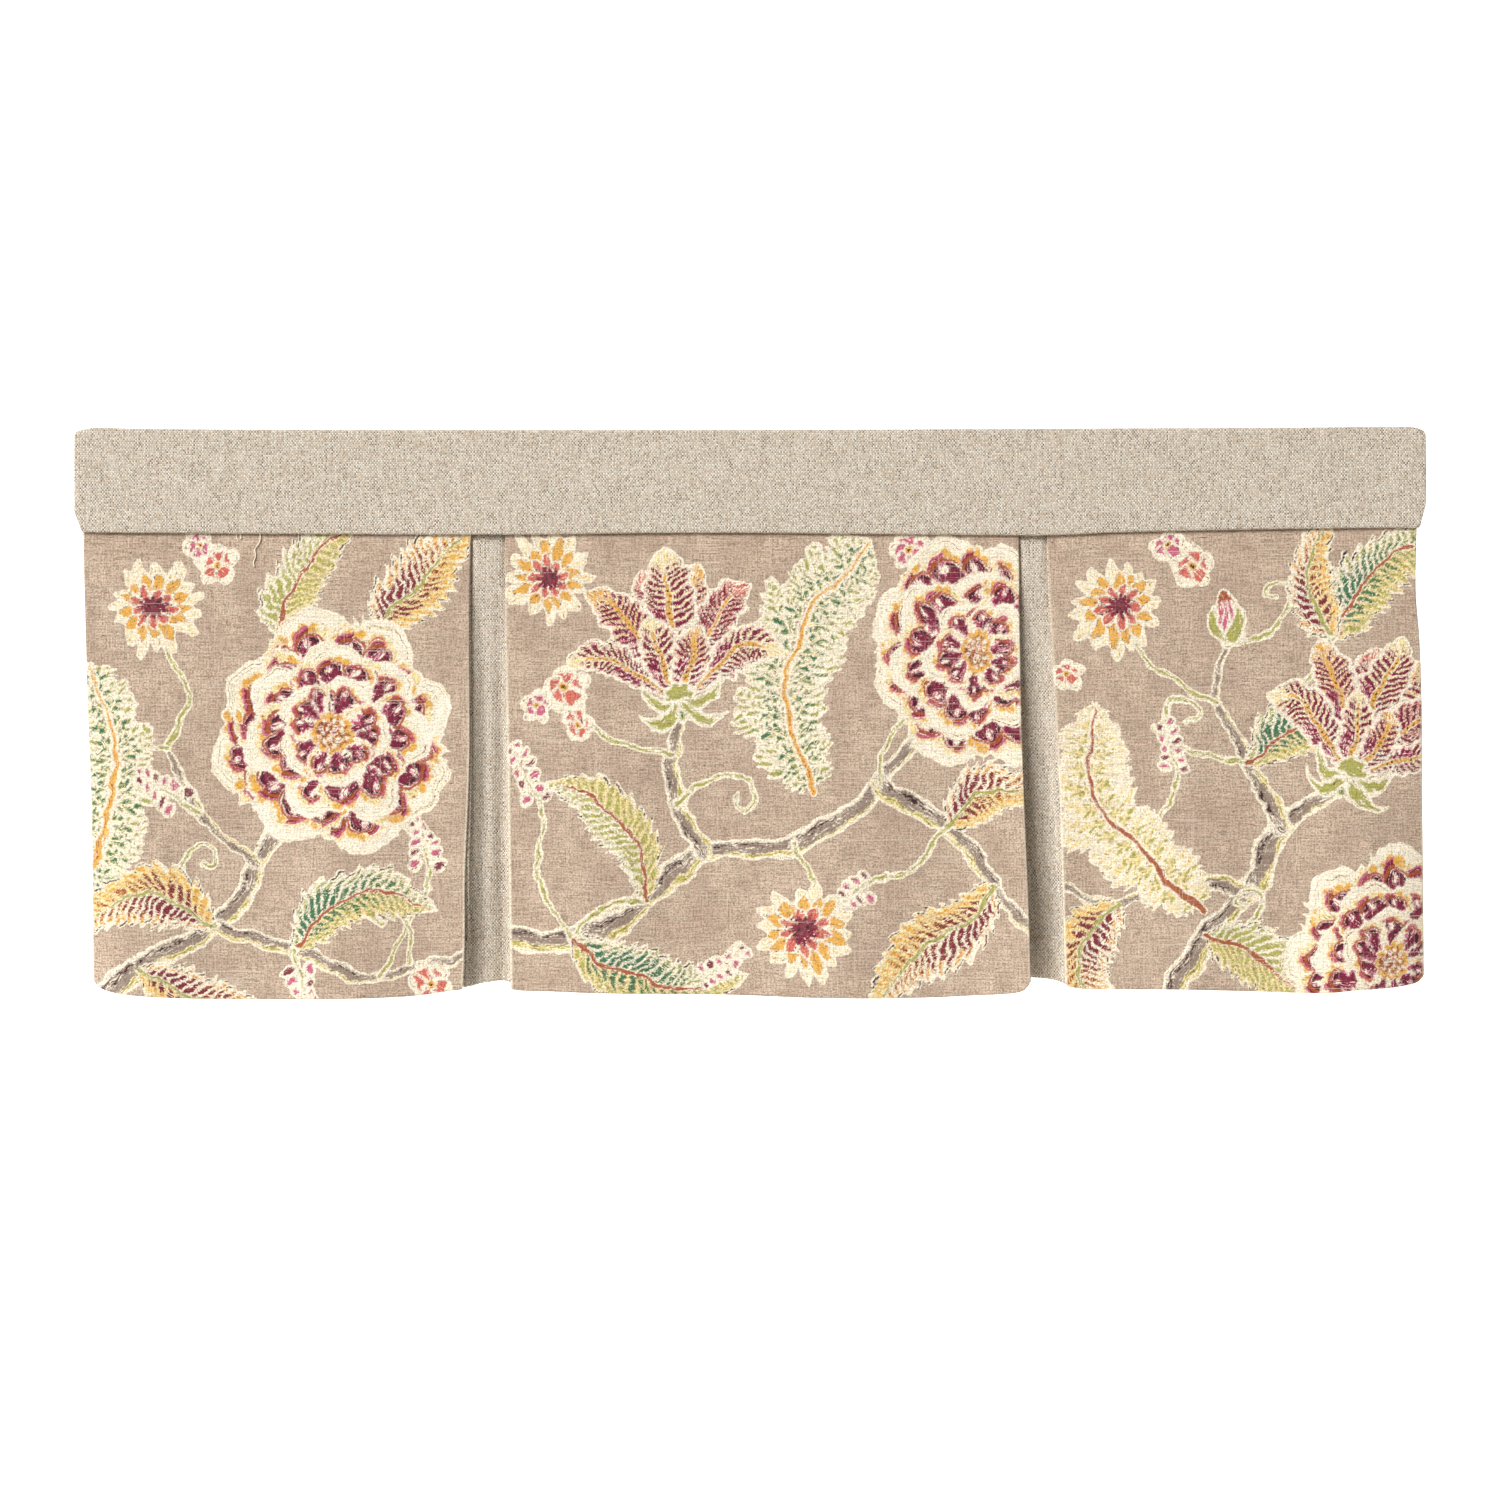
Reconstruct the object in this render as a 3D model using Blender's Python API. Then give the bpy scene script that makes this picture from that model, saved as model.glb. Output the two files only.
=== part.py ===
"""Window valance: a plain heading band over a printed skirt of three flat panels,
parted by two inverted pleats whose inserts are cut from the heading's cloth.

Metres, +Z up. +X runs to the viewer's right and -Y faces the room. The origin is the
middle of the heading's top edge, so a drop is a height below that edge.
"""

import math

import bmesh
import bpy
from mathutils import Vector

# Cloth and its layers
CLOTH_THICKNESS = 0.001
LAYER_PITCH = 0.00145  # middle of one layer to the middle of the next
SIDE_TURN_RADIUS = LAYER_PITCH / 2  # a side turn lies one layer behind the face
HEM_TURN_RADIUS = LAYER_PITCH  # a hem lies two layers behind, outside the side turns
TURN_STEPS = 3  # flats round a turned edge

# Heading band
HEADING_WIDTH = 1.270
HEADING_FACE_Y = -HEM_TURN_RADIUS  # so the top fold is centred over the origin
TOP_TURN = 0.038
SEAM_TURN = 0.012
HEADING_SIDE_TURN = 0.015
HEADING_MIDDLE_COLUMNS = 24
HEADING_END_SHARES = (0.0, 0.004, 0.012)  # closer columns by each end
HEADING_MIDDLE_START = 0.03
HEADING_ROWS = (0.0, 0.25, 0.5, 0.75, 0.88, 1.0)
# The top edge's unevenness: place across, height
HEADING_TOP = (
    (-0.635, -0.0030),
    (-0.628, -0.0005),
    (-0.612, 0.0012),
    (-0.585, 0.0002),
    (-0.400, -0.0010),
    (0.000, -0.0010),
    (0.300, 0.0002),
    (0.500, 0.0010),
    (0.618, 0.0020),
    (0.630, 0.0004),
    (0.635, -0.0025),
)
# The seam line under the band: place across, drop
HEADING_SEAM = (
    (-0.630, 0.0974),
    (-0.610, 0.0979),
    (-0.235, 0.0997),
    (-0.047, 0.0979),
    (0.235, 0.1001),
    (0.292, 0.1001),
    (0.343, 0.0977),
    (0.461, 0.0951),
    (0.583, 0.0934),
    (0.630, 0.0932),
)
# Half the band's width as the drop grows: drop, left reach, right reach
HEADING_ENDS = (
    (0.000, 0.6345, 0.6345),
    (0.010, 0.6350, 0.6350),
    (0.071, 0.6350, 0.6350),
    (0.079, 0.6348, 0.6330),
    (0.088, 0.6312, 0.6307),
    (0.100, 0.6272, 0.6290),
)

# Skirt
SKIRT_FACE_Y = HEADING_FACE_Y + 3 * LAYER_PITCH
SKIRT_TOP_DROP = 0.087  # the skirt's top is tucked behind the band's seam turn
LONGEST_DROP = 0.537
FOLDS_START_DROP = 0.099  # the skirt is flat above this, where it is seamed to the band
FOLDS_END_DROP = 0.637
HEM_HEIGHT = 0.045
PLEAT_SEAM_TURN = 0.008
OUTER_SIDE_TURN = 0.020
PANEL_ROWS = 11
PANEL_COLUMN_WIDTH = 0.021
END_SHARES = (0.0, 0.012, 0.035)  # closer columns by each edge, as shares of the width

# Panel outlines. An edge's rows are drop and place across, a hem's place across and drop
PANELS = {
    "panel_left": {
        "left_edge": (
            (0.087, -0.6278),
            (0.255, -0.6241),
            (0.349, -0.6212),
            (0.443, -0.6203),
            (0.514, -0.6199),
            (0.537, -0.6196),
        ),
        "right_edge": (
            (0.087, -0.2622),
            (0.180, -0.2639),
            (0.311, -0.2639),
            (0.424, -0.2681),
            (0.480, -0.2683),
            (0.537, -0.2704),
        ),
        "hem": (
            (-0.6200, 0.5172),
            (-0.6162, 0.5249),
            (-0.5964, 0.5311),
            (-0.5644, 0.5343),
            (-0.5259, 0.5362),
            (-0.4591, 0.5369),
            (-0.3255, 0.5343),
            (-0.2700, 0.5273),
        ),
        "side_turns": (OUTER_SIDE_TURN, PLEAT_SEAM_TURN),
    },
    "panel_centre": {
        "left_edge": (
            (0.087, -0.2306),
            (0.255, -0.2290),
            (0.400, -0.2271),
            (0.537, -0.2252),
        ),
        "right_edge": (
            (0.087, 0.2529),
            (0.255, 0.2549),
            (0.349, 0.2578),
            (0.443, 0.2615),
            (0.514, 0.2634),
            (0.537, 0.2640),
        ),
        "hem": (
            (-0.2253, 0.5278),
            (-0.2154, 0.5287),
            (-0.1928, 0.5291),
            (-0.1261, 0.5313),
            (-0.0151, 0.5328),
            (0.0602, 0.5351),
            (0.1496, 0.5357),
            (0.2164, 0.5328),
            (0.2554, 0.5290),
            (0.2640, 0.5208),
        ),
        "side_turns": (PLEAT_SEAM_TURN, PLEAT_SEAM_TURN),
    },
    "panel_right": {
        "left_edge": (
            (0.087, 0.2787),
            (0.255, 0.2869),
            (0.349, 0.2916),
            (0.443, 0.2944),
            (0.537, 0.2975),
        ),
        "right_edge": (
            (0.087, 0.6276),
            (0.151, 0.6266),
            (0.198, 0.6303),
            (0.255, 0.6327),
            (0.349, 0.6340),
            (0.443, 0.6359),
            (0.537, 0.6373),
        ),
        "hem": (
            (0.2973, 0.5245),
            (0.3180, 0.5273),
            (0.4036, 0.5274),
            (0.5061, 0.5304),
            (0.5400, 0.5309),
            (0.5654, 0.5287),
            (0.6049, 0.5259),
            (0.6246, 0.5231),
            (0.6322, 0.5205),
            (0.6370, 0.5160),
        ),
        "side_turns": (PLEAT_SEAM_TURN, OUTER_SIDE_TURN),
    },
}

# Soft folds of each panel at its hem: place across, lean per metre of drop, half width,
# how far it stands forward (minus is back)
PANEL_FOLDS = {
    "panel_left": (
        (-0.655, 0.00, 0.042, -0.0190),
        (-0.575, 0.02, 0.040, 0.0035),
        (-0.480, -0.03, 0.055, -0.0030),
        (-0.385, 0.02, 0.045, 0.0045),
        (-0.300, 0.00, 0.030, -0.0020),
    ),
    "panel_centre": (
        (-0.225, 0.00, 0.030, -0.0020),
        (-0.150, 0.03, 0.050, 0.0040),
        (-0.035, -0.03, 0.060, -0.0035),
        (0.080, 0.02, 0.055, 0.0045),
        (0.175, 0.00, 0.040, -0.0025),
        (0.275, 0.00, 0.040, 0.0080),
    ),
    "panel_right": (
        (0.330, 0.00, 0.035, -0.0025),
        (0.410, -0.02, 0.045, 0.0035),
        (0.490, 0.02, 0.040, -0.0025),
        (0.560, -0.02, 0.040, 0.0045),
        (0.672, 0.00, 0.046, -0.0210),
    ),
}

# Pleat inserts
PLEAT_DEPTH = 0.050  # how far each fold reaches behind the panels
INSERT_SEAM_TURN = 0.010
INSERT_ROWS = 10
INSERT_LAP_STEPS = 3  # columns behind a panel
INSERT_FOLD_STEPS = 4
INSERT_OPENING_STEPS = 8
HEM_SPREAD = (0.400, 0.470)  # drops between which the layers part to clear the hems
LAP_LAYERS = (3, 5)  # layers from a panel's face to the insert behind it, above and at the hem
FOLD_LAYERS = (1, 2.2)  # layers across an insert's own folds, above and at the hem
BACK_RELIEF_DROPS = (0.1, 0.4)  # the insert's back takes its relief between these drops
INSERTS = {
    "pleat_insert_left": {
        "between": ("panel_left", "panel_centre"),
        "hem": (
            (-0.330, 0.5235),
            (-0.266, 0.5257),
            (-0.254, 0.5230),
            (-0.242, 0.5211),
            (-0.232, 0.5211),
            (-0.225, 0.5240),
            (-0.170, 0.5235),
        ),
        # Drop, how far the rolled edge peeps out from its panel, left then right
        "rolls": (
            (0.087, 0.0003, 0.0003),
            (0.255, 0.0010, 0.0008),
            (0.443, 0.0038, 0.0010),
            (0.537, 0.0042, 0.0012),
        ),
        # Share of the way across the opening, how far the back stands behind its plain depth
        "back_relief": (
            (0.00, 0.0005),
            (0.22, 0.0030),
            (0.55, -0.0022),
            (0.80, 0.0012),
            (1.00, 0.0005),
        ),
    },
    "pleat_insert_right": {
        "between": ("panel_centre", "panel_right"),
        "hem": (
            (0.200, 0.5200),
            (0.264, 0.5174),
            (0.276, 0.5183),
            (0.287, 0.5198),
            (0.298, 0.5228),
            (0.350, 0.5225),
        ),
        "rolls": (
            (0.087, 0.0003, 0.0003),
            (0.255, 0.0003, 0.0014),
            (0.443, 0.0003, 0.0018),
            (0.537, 0.0003, 0.0022),
        ),
        "back_relief": (
            (0.00, 0.0040),
            (0.30, 0.0045),
            (0.70, 0.0000),
            (1.00, -0.0010),
        ),
    },
}

PRINTED_CLOTH_COLOUR = (0.392, 0.296, 0.223, 1.0)
OATMEAL_CLOTH_COLOUR = (0.578, 0.503, 0.392, 1.0)
PRINTED_CLOTH_ROUGHNESS = 0.88
OATMEAL_CLOTH_ROUGHNESS = 0.94


def mix(start, end, share):
    """The value that share of the way from start to end."""
    return start + (end - start) * share


def ease(value, start, end):
    """0 before start, 1 after end, with a soft rise between."""
    share = min(max((value - start) / (end - start), 0.0), 1.0)
    return share * share * (3 - 2 * share)


def read_table(table, place, column=1):
    """A column of a short table as a smooth curve over its first column, level past its ends."""
    if place <= table[0][0]:
        return table[0][column]
    if place >= table[-1][0]:
        return table[-1][column]
    last = len(table) - 1
    row = next(i for i in range(last) if place < table[i + 1][0])

    def slope(i):
        before, after = table[max(i - 1, 0)], table[min(i + 1, last)]
        return (after[column] - before[column]) / (after[0] - before[0])

    start, end = table[row], table[row + 1]
    span = end[0] - start[0]
    share = (place - start[0]) / span
    squared = share * share
    cubed = squared * share
    return (
        (2 * cubed - 3 * squared + 1) * start[column]
        + (cubed - 2 * squared + share) * span * slope(row)
        + (3 * squared - 2 * cubed) * end[column]
        + (cubed - squared) * span * slope(row + 1)
    )


def skirt_depth(panel, x, drop):
    """How far the skirt's face lies from the back of the room, with a panel's soft folds."""
    growth = ease(drop, FOLDS_START_DROP, FOLDS_END_DROP)
    growth /= ease(LONGEST_DROP, FOLDS_START_DROP, FOLDS_END_DROP)
    forward = sum(
        reach * math.exp(-(((x - centre - lean * (LONGEST_DROP - drop)) / half_width) ** 2))
        for centre, lean, half_width, reach in PANEL_FOLDS[panel]
    )
    return SKIRT_FACE_Y - growth * forward


def heading_face(along, down):
    """A point on the heading band's face, from its left end and its top edge."""
    inset = SIDE_TURN_RADIUS + CLOTH_THICKNESS / 2
    hem_inset = HEM_TURN_RADIUS + CLOTH_THICKNESS / 2
    across = HEADING_WIDTH * (along - 0.5)
    top = hem_inset - read_table(HEADING_TOP, across)
    drop = mix(top, read_table(HEADING_SEAM, across) - hem_inset, down)
    left = inset - read_table(HEADING_ENDS, drop, 1)
    right = read_table(HEADING_ENDS, drop, 2) - inset
    return Vector((mix(left, right, along), HEADING_FACE_Y, -drop))


def panel_face(panel):
    """A function for points on a skirt panel's face, from its left edge and its top."""
    outline = PANELS[panel]
    inset = SIDE_TURN_RADIUS + CLOTH_THICKNESS / 2
    hem_inset = HEM_TURN_RADIUS + CLOTH_THICKNESS / 2

    def across(along, drop):
        left = read_table(outline["left_edge"], drop) + inset
        right = read_table(outline["right_edge"], drop) - inset
        return mix(left, right, along)

    def face(along, down):
        hem = read_table(outline["hem"], across(along, LONGEST_DROP)) - hem_inset
        drop = mix(SKIRT_TOP_DROP, hem, down)
        x = across(along, drop)
        return Vector((x, skirt_depth(panel, x, drop), -drop))

    return face


def insert_section(name, drop):
    """The insert's section at one drop: back behind the left panel, across, and forward again."""
    insert = INSERTS[name]
    left_panel, right_panel = insert["between"]
    spread = ease(drop, *HEM_SPREAD)
    lap_gap = mix(*LAP_LAYERS, spread) * LAYER_PITCH
    fold_gap = mix(*FOLD_LAYERS, spread) * LAYER_PITCH
    left_edge = read_table(PANELS[left_panel]["right_edge"], drop)
    right_edge = read_table(PANELS[right_panel]["left_edge"], drop)
    inset = SIDE_TURN_RADIUS + CLOTH_THICKNESS / 2
    left_roll = left_edge + read_table(insert["rolls"], drop, 1) - inset
    right_roll = right_edge - read_table(insert["rolls"], drop, 2) + inset
    left_fold = left_edge - PLEAT_DEPTH
    right_fold = right_edge + PLEAT_DEPTH

    def back(x):
        share = ease(x, left_edge, right_edge)
        depth = mix(skirt_depth(left_panel, x, drop), skirt_depth(right_panel, x, drop), share)
        opening = min(max((x - left_edge) / (right_edge - left_edge), 0.0), 1.0)
        relief = read_table(insert["back_relief"], opening)
        fade = ease(x, left_fold, left_edge) * (1 - ease(x, right_edge, right_fold))
        relief *= fade * ease(drop, *BACK_RELIEF_DROPS)
        return depth + lap_gap + fold_gap + relief

    points = []
    for i in range(INSERT_LAP_STEPS + 1):
        x = mix(left_roll, left_fold, i / INSERT_LAP_STEPS)
        points.append((x, skirt_depth(left_panel, x, drop) + lap_gap))
    radius = (back(left_fold) - points[-1][1]) / 2
    middle = points[-1][1] + radius
    for i in range(1, INSERT_FOLD_STEPS):
        turn = math.pi * i / INSERT_FOLD_STEPS
        points.append((left_fold - radius * math.sin(turn), middle - radius * math.cos(turn)))
    stops = [mix(left_fold, left_edge, i / INSERT_LAP_STEPS) for i in range(INSERT_LAP_STEPS)]
    stops += [
        mix(left_edge, right_edge, i / INSERT_OPENING_STEPS) for i in range(INSERT_OPENING_STEPS)
    ]
    stops += [mix(right_edge, right_fold, i / INSERT_LAP_STEPS) for i in range(INSERT_LAP_STEPS + 1)]
    points += [(x, back(x)) for x in stops]
    front = skirt_depth(right_panel, right_fold, drop) + lap_gap
    radius = (back(right_fold) - front) / 2
    for i in range(1, INSERT_FOLD_STEPS):
        turn = math.pi * i / INSERT_FOLD_STEPS
        points.append(
            (right_fold + radius * math.sin(turn), front + radius + radius * math.cos(turn))
        )
    for i in range(INSERT_LAP_STEPS + 1):
        x = mix(right_fold, right_roll, i / INSERT_LAP_STEPS)
        points.append((x, skirt_depth(right_panel, x, drop) + lap_gap))
    return points


def insert_columns():
    """How many columns the folded section of an insert has."""
    return 4 * INSERT_LAP_STEPS + 2 * INSERT_FOLD_STEPS + INSERT_OPENING_STEPS


def insert_face(name):
    """A function for points on an insert's face, along its folded section and down."""
    hem_inset = HEM_TURN_RADIUS + CLOTH_THICKNESS / 2
    sections = {}

    def point_at(along, drop):
        if drop not in sections:
            sections[drop] = insert_section(name, drop)
        points = sections[drop]
        place = min(max(along, 0.0), 1.0) * (len(points) - 1)
        step = min(int(place), len(points) - 2)
        start, end = points[step], points[step + 1]
        share = place - step
        return mix(start[0], end[0], share), mix(start[1], end[1], share)

    def face(along, down):
        x_at_hem, _ = point_at(along, LONGEST_DROP)
        hem = read_table(INSERTS[name]["hem"], x_at_hem) - hem_inset
        drop = mix(SKIRT_TOP_DROP, hem, down)
        x, y = point_at(along, drop)
        return Vector((x, y, -drop))

    return face


def wrong_side(face, along, down):
    """The level direction out of the cloth's wrong side, to the left as one goes along it."""
    step = 0.0005
    run = face(min(along + step, 1.0), down) - face(max(along - step, 0.0), down)
    return Vector((-run.y, run.x, 0.0)).normalized()


def turn_path(radius, depth):
    """The steps of a turned edge: outwards, behind the face, and how far back over the cloth."""
    steps = []
    for i in range(1, TURN_STEPS + 1):
        angle = math.pi * i / TURN_STEPS
        steps.append((radius * math.sin(angle), radius * (1 - math.cos(angle)), 0.0))
    steps.append((0.0, 2 * radius, depth))
    return steps


def add_cloth(name, face, columns, rows, side_turns, hem_turn, top_turn, material):
    """One cloth: its face as a grid, its turned edges extruded from the grid's border, and its
    thickness. columns and rows list shares of the way across and down."""
    mesh = bpy.data.meshes.new(name)
    shape = bmesh.new()
    bmesh.ops.create_grid(
        shape, x_segments=len(columns) - 1, y_segments=len(rows) - 1, size=1.0
    )
    column_of = shape.verts.layers.int.new("column")
    row_of = shape.verts.layers.int.new("row")
    for vertex in shape.verts:
        vertex[column_of] = round((vertex.co.x + 1) / 2 * (len(columns) - 1))
        vertex[row_of] = round((1 - vertex.co.y) / 2 * (len(rows) - 1))
    for vertex in shape.verts:
        vertex.co = face(columns[vertex[column_of]], rows[vertex[row_of]])
    last_column, last_row = len(columns) - 1, len(rows) - 1
    width = (face(0.2, 0.5) - face(0.0, 0.5)).length / 0.2
    height = (face(0.5, 1.0) - face(0.5, 0.0)).length

    def turn_over(layer, index, radius, depth):
        """Extrude one border round and back over the wrong side."""
        sideways = layer == column_of
        inwards = 1 if index == 0 else -1
        border = [
            edge
            for edge in shape.edges
            if all(vertex[layer] == index for vertex in edge.verts) and edge.is_boundary
        ]
        for outwards, behind, back_over in turn_path(radius, depth):
            made = bmesh.ops.extrude_edge_only(shape, edges=border)["geom"]
            border = [part for part in made if isinstance(part, bmesh.types.BMEdge)]
            for vertex in (part for part in made if isinstance(part, bmesh.types.BMVert)):
                along = columns[vertex[column_of]]
                down = rows[vertex[row_of]]
                if sideways:
                    inner = along + inwards * back_over / width
                    run = face(along + inwards * 0.001, down) - face(along, down)
                    out_way = -run.normalized()
                    vertex.co = face(inner, down) + out_way * outwards
                    vertex.co += wrong_side(face, inner, down) * behind
                else:
                    inner = down + inwards * back_over / height
                    vertex.co = face(along, inner) + Vector((0, 0, inwards * outwards))
                    vertex.co += wrong_side(face, along, inner) * behind

    turn_over(row_of, last_row, HEM_TURN_RADIUS, hem_turn)
    if top_turn:
        turn_over(row_of, 0, HEM_TURN_RADIUS, top_turn)
    turn_over(column_of, 0, SIDE_TURN_RADIUS, side_turns[0])
    turn_over(column_of, last_column, SIDE_TURN_RADIUS, side_turns[1])

    bmesh.ops.recalc_face_normals(shape, faces=shape.faces)
    shape.to_mesh(mesh)
    shape.free()
    mesh.shade_smooth()
    mesh.materials.append(material)
    cloth = bpy.data.objects.new(name, mesh)
    bpy.context.scene.collection.objects.link(cloth)
    thickness = cloth.modifiers.new("Cloth thickness", "SOLIDIFY")
    thickness.thickness = CLOTH_THICKNESS
    thickness.offset = 0.0
    return cloth


def add_material(name, colour, roughness):
    """A plain finish for one cloth."""
    material = bpy.data.materials.new(name)
    material.use_nodes = True
    finish = material.node_tree.nodes["Principled BSDF"]
    finish.inputs["Base Color"].default_value = colour
    finish.inputs["Roughness"].default_value = roughness
    finish.inputs["Metallic"].default_value = 0.0
    return material


def even_shares(count):
    """Shares from 0 to 1 in even steps."""
    return [i / count for i in range(count + 1)]


def panel_columns(panel):
    """Shares across a panel, even in the middle and closer by each edge."""
    outline = PANELS[panel]
    width = outline["right_edge"][0][1] - outline["left_edge"][0][1]
    middle = round(width / PANEL_COLUMN_WIDTH)
    inner = END_SHARES[-1]
    shares = list(END_SHARES[:-1])
    shares += [mix(inner, 1 - inner, i / middle) for i in range(middle + 1)]
    shares += [1 - share for share in reversed(END_SHARES[:-1])]
    return shares


def add_heading():
    """The heading band, its top turned over behind it."""
    material = add_material("Oatmeal weave of heading", OATMEAL_CLOTH_COLOUR, OATMEAL_CLOTH_ROUGHNESS)
    start, end = HEADING_MIDDLE_START, 1 - HEADING_MIDDLE_START
    columns = list(HEADING_END_SHARES)
    columns += [mix(start, end, share) for share in even_shares(HEADING_MIDDLE_COLUMNS)]
    columns += [1 - share for share in reversed(HEADING_END_SHARES)]
    side_turns = (HEADING_SIDE_TURN, HEADING_SIDE_TURN)
    add_cloth(
        "heading_band",
        heading_face,
        columns,
        HEADING_ROWS,
        side_turns,
        SEAM_TURN,
        TOP_TURN,
        material,
    )


def add_panels():
    """The three printed panels of the skirt."""
    for panel, outline in PANELS.items():
        material = add_material(
            f"Printed plain weave of {panel}", PRINTED_CLOTH_COLOUR, PRINTED_CLOTH_ROUGHNESS
        )
        add_cloth(
            panel,
            panel_face(panel),
            panel_columns(panel),
            even_shares(PANEL_ROWS),
            outline["side_turns"],
            HEM_HEIGHT,
            None,
            material,
        )


def add_inserts():
    """The two folded inserts of the inverted pleats."""
    for name in INSERTS:
        material = add_material(
            f"Oatmeal weave of {name}", OATMEAL_CLOTH_COLOUR, OATMEAL_CLOTH_ROUGHNESS
        )
        add_cloth(
            name,
            insert_face(name),
            even_shares(insert_columns()),
            even_shares(INSERT_ROWS),
            (INSERT_SEAM_TURN, INSERT_SEAM_TURN),
            HEM_HEIGHT,
            None,
            material,
        )


def build_valance():
    """Clear the scene and make every piece."""
    for old in list(bpy.data.objects):
        bpy.data.objects.remove(old)
    add_heading()
    add_panels()
    add_inserts()


build_valance()
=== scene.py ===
"""Window valance, dressed: a coarse oatmeal heading band over three printed panels, parted by
two inverted pleats in the heading's cloth. Lengths are metres, drops are heights below the
heading's top edge, and the print is drawn in millimetres.
"""

import functools
import math

import bmesh
import bpy
import numpy as np
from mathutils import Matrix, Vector


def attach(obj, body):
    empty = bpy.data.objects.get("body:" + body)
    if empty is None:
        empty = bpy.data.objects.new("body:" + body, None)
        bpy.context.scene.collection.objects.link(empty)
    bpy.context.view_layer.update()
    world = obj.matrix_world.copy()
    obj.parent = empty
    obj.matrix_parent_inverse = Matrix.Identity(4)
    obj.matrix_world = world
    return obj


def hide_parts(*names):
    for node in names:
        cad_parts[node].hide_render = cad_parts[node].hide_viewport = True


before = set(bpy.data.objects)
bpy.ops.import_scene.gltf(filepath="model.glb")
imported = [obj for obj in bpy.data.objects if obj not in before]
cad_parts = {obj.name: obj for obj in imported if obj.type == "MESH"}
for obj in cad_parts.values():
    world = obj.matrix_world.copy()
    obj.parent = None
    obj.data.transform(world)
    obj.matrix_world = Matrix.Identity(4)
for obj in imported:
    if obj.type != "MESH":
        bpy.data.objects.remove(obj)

bl_info = {
    "name": "Window valance",
    "version": (1, 0, 0),
    "blender": (4, 5, 0),
    "location": "3D View > Sidebar > Valance",
    "description": "Makes a window valance with a woven heading, printed panels and inverted pleats",
    "category": "Object",
}

BODY = "root"
NOISE = "ShaderNodeTexNoise"
MATH = "ShaderNodeMath"
VECTOR = "ShaderNodeVectorMath"
RANGE = "ShaderNodeMapRange"
MIX = "ShaderNodeMix"

# Cloth and its layers. The shapes here are the right side of each cloth, half a solid's
# thickness outside the middle that the solids are drawn on
PRINTED_THICKNESS = 0.0006
OATMEAL_THICKNESS = 0.0009
SOLID_HALF = 0.0005
LAYER_PITCH = 0.00145
SIDE_TURN_RADIUS = LAYER_PITCH / 2 + SOLID_HALF
HEM_TURN_RADIUS = LAYER_PITCH + SOLID_HALF
TURN_STEPS = 6  # flats round a turned edge
STRIP_STEP = 0.005  # how far apart the rows of a turned strip lie

# Heading band
HEADING_WIDTH = 1.270
HEADING_CUT_HEIGHT = 0.095  # between the folds of its two long turns
HEADING_FACE_Y = -HEM_TURN_RADIUS
SKIRT_FACE_Y = 3 * LAYER_PITCH + HEADING_FACE_Y
TOP_TURN = 0.038
SEAM_TURN = 0.012
HEADING_SIDE_TURN = 0.015
HEADING_GRID = 0.0034
# The top edge's unevenness: place across, height
HEADING_TOP = (
    (-0.635, -0.0030),
    (-0.628, -0.0005),
    (-0.612, 0.0012),
    (-0.585, 0.0002),
    (-0.400, -0.0010),
    (0.000, -0.0010),
    (0.300, 0.0002),
    (0.500, 0.0010),
    (0.618, 0.0020),
    (0.630, 0.0004),
    (0.635, -0.0025),
)
# The seam line under the band: place across, drop
HEADING_SEAM = (
    (-0.630, 0.0974),
    (-0.610, 0.0979),
    (-0.235, 0.0997),
    (-0.047, 0.0979),
    (0.235, 0.1001),
    (0.292, 0.1001),
    (0.343, 0.0977),
    (0.461, 0.0951),
    (0.583, 0.0934),
    (0.630, 0.0932),
)
# Half the band's width as the drop grows: drop, left reach, right reach
HEADING_ENDS = (
    (0.000, 0.6345, 0.6345),
    (0.010, 0.6350, 0.6350),
    (0.071, 0.6350, 0.6350),
    (0.079, 0.6348, 0.6330),
    (0.088, 0.6312, 0.6307),
    (0.100, 0.6272, 0.6290),
)
# Soft dents in the band: place across, drop, half width, half height, how far back
HEADING_DENTS = (
    (-0.560, 0.030, 0.045, 0.030, 0.0006),
    (-0.330, 0.070, 0.080, 0.022, 0.0005),
    (-0.080, 0.028, 0.120, 0.018, 0.0004),
    (0.190, 0.072, 0.070, 0.020, 0.0006),
    (0.420, 0.036, 0.090, 0.026, 0.0005),
    (0.590, 0.062, 0.030, 0.028, 0.0007),
)

# Skirt
SKIRT_TOP_DROP = 0.087
LONGEST_DROP = 0.537
FOLDS_START_DROP = 0.099
FOLDS_END_DROP = 0.637
CREASE_WANDER = 0.004
SEAM_RIPPLE_RISE = 0.009
HEM_HEIGHT = 0.045
PLEAT_SEAM_TURN = 0.008
OUTER_SIDE_TURN = 0.020
FACE_CUTS = 2

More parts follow.
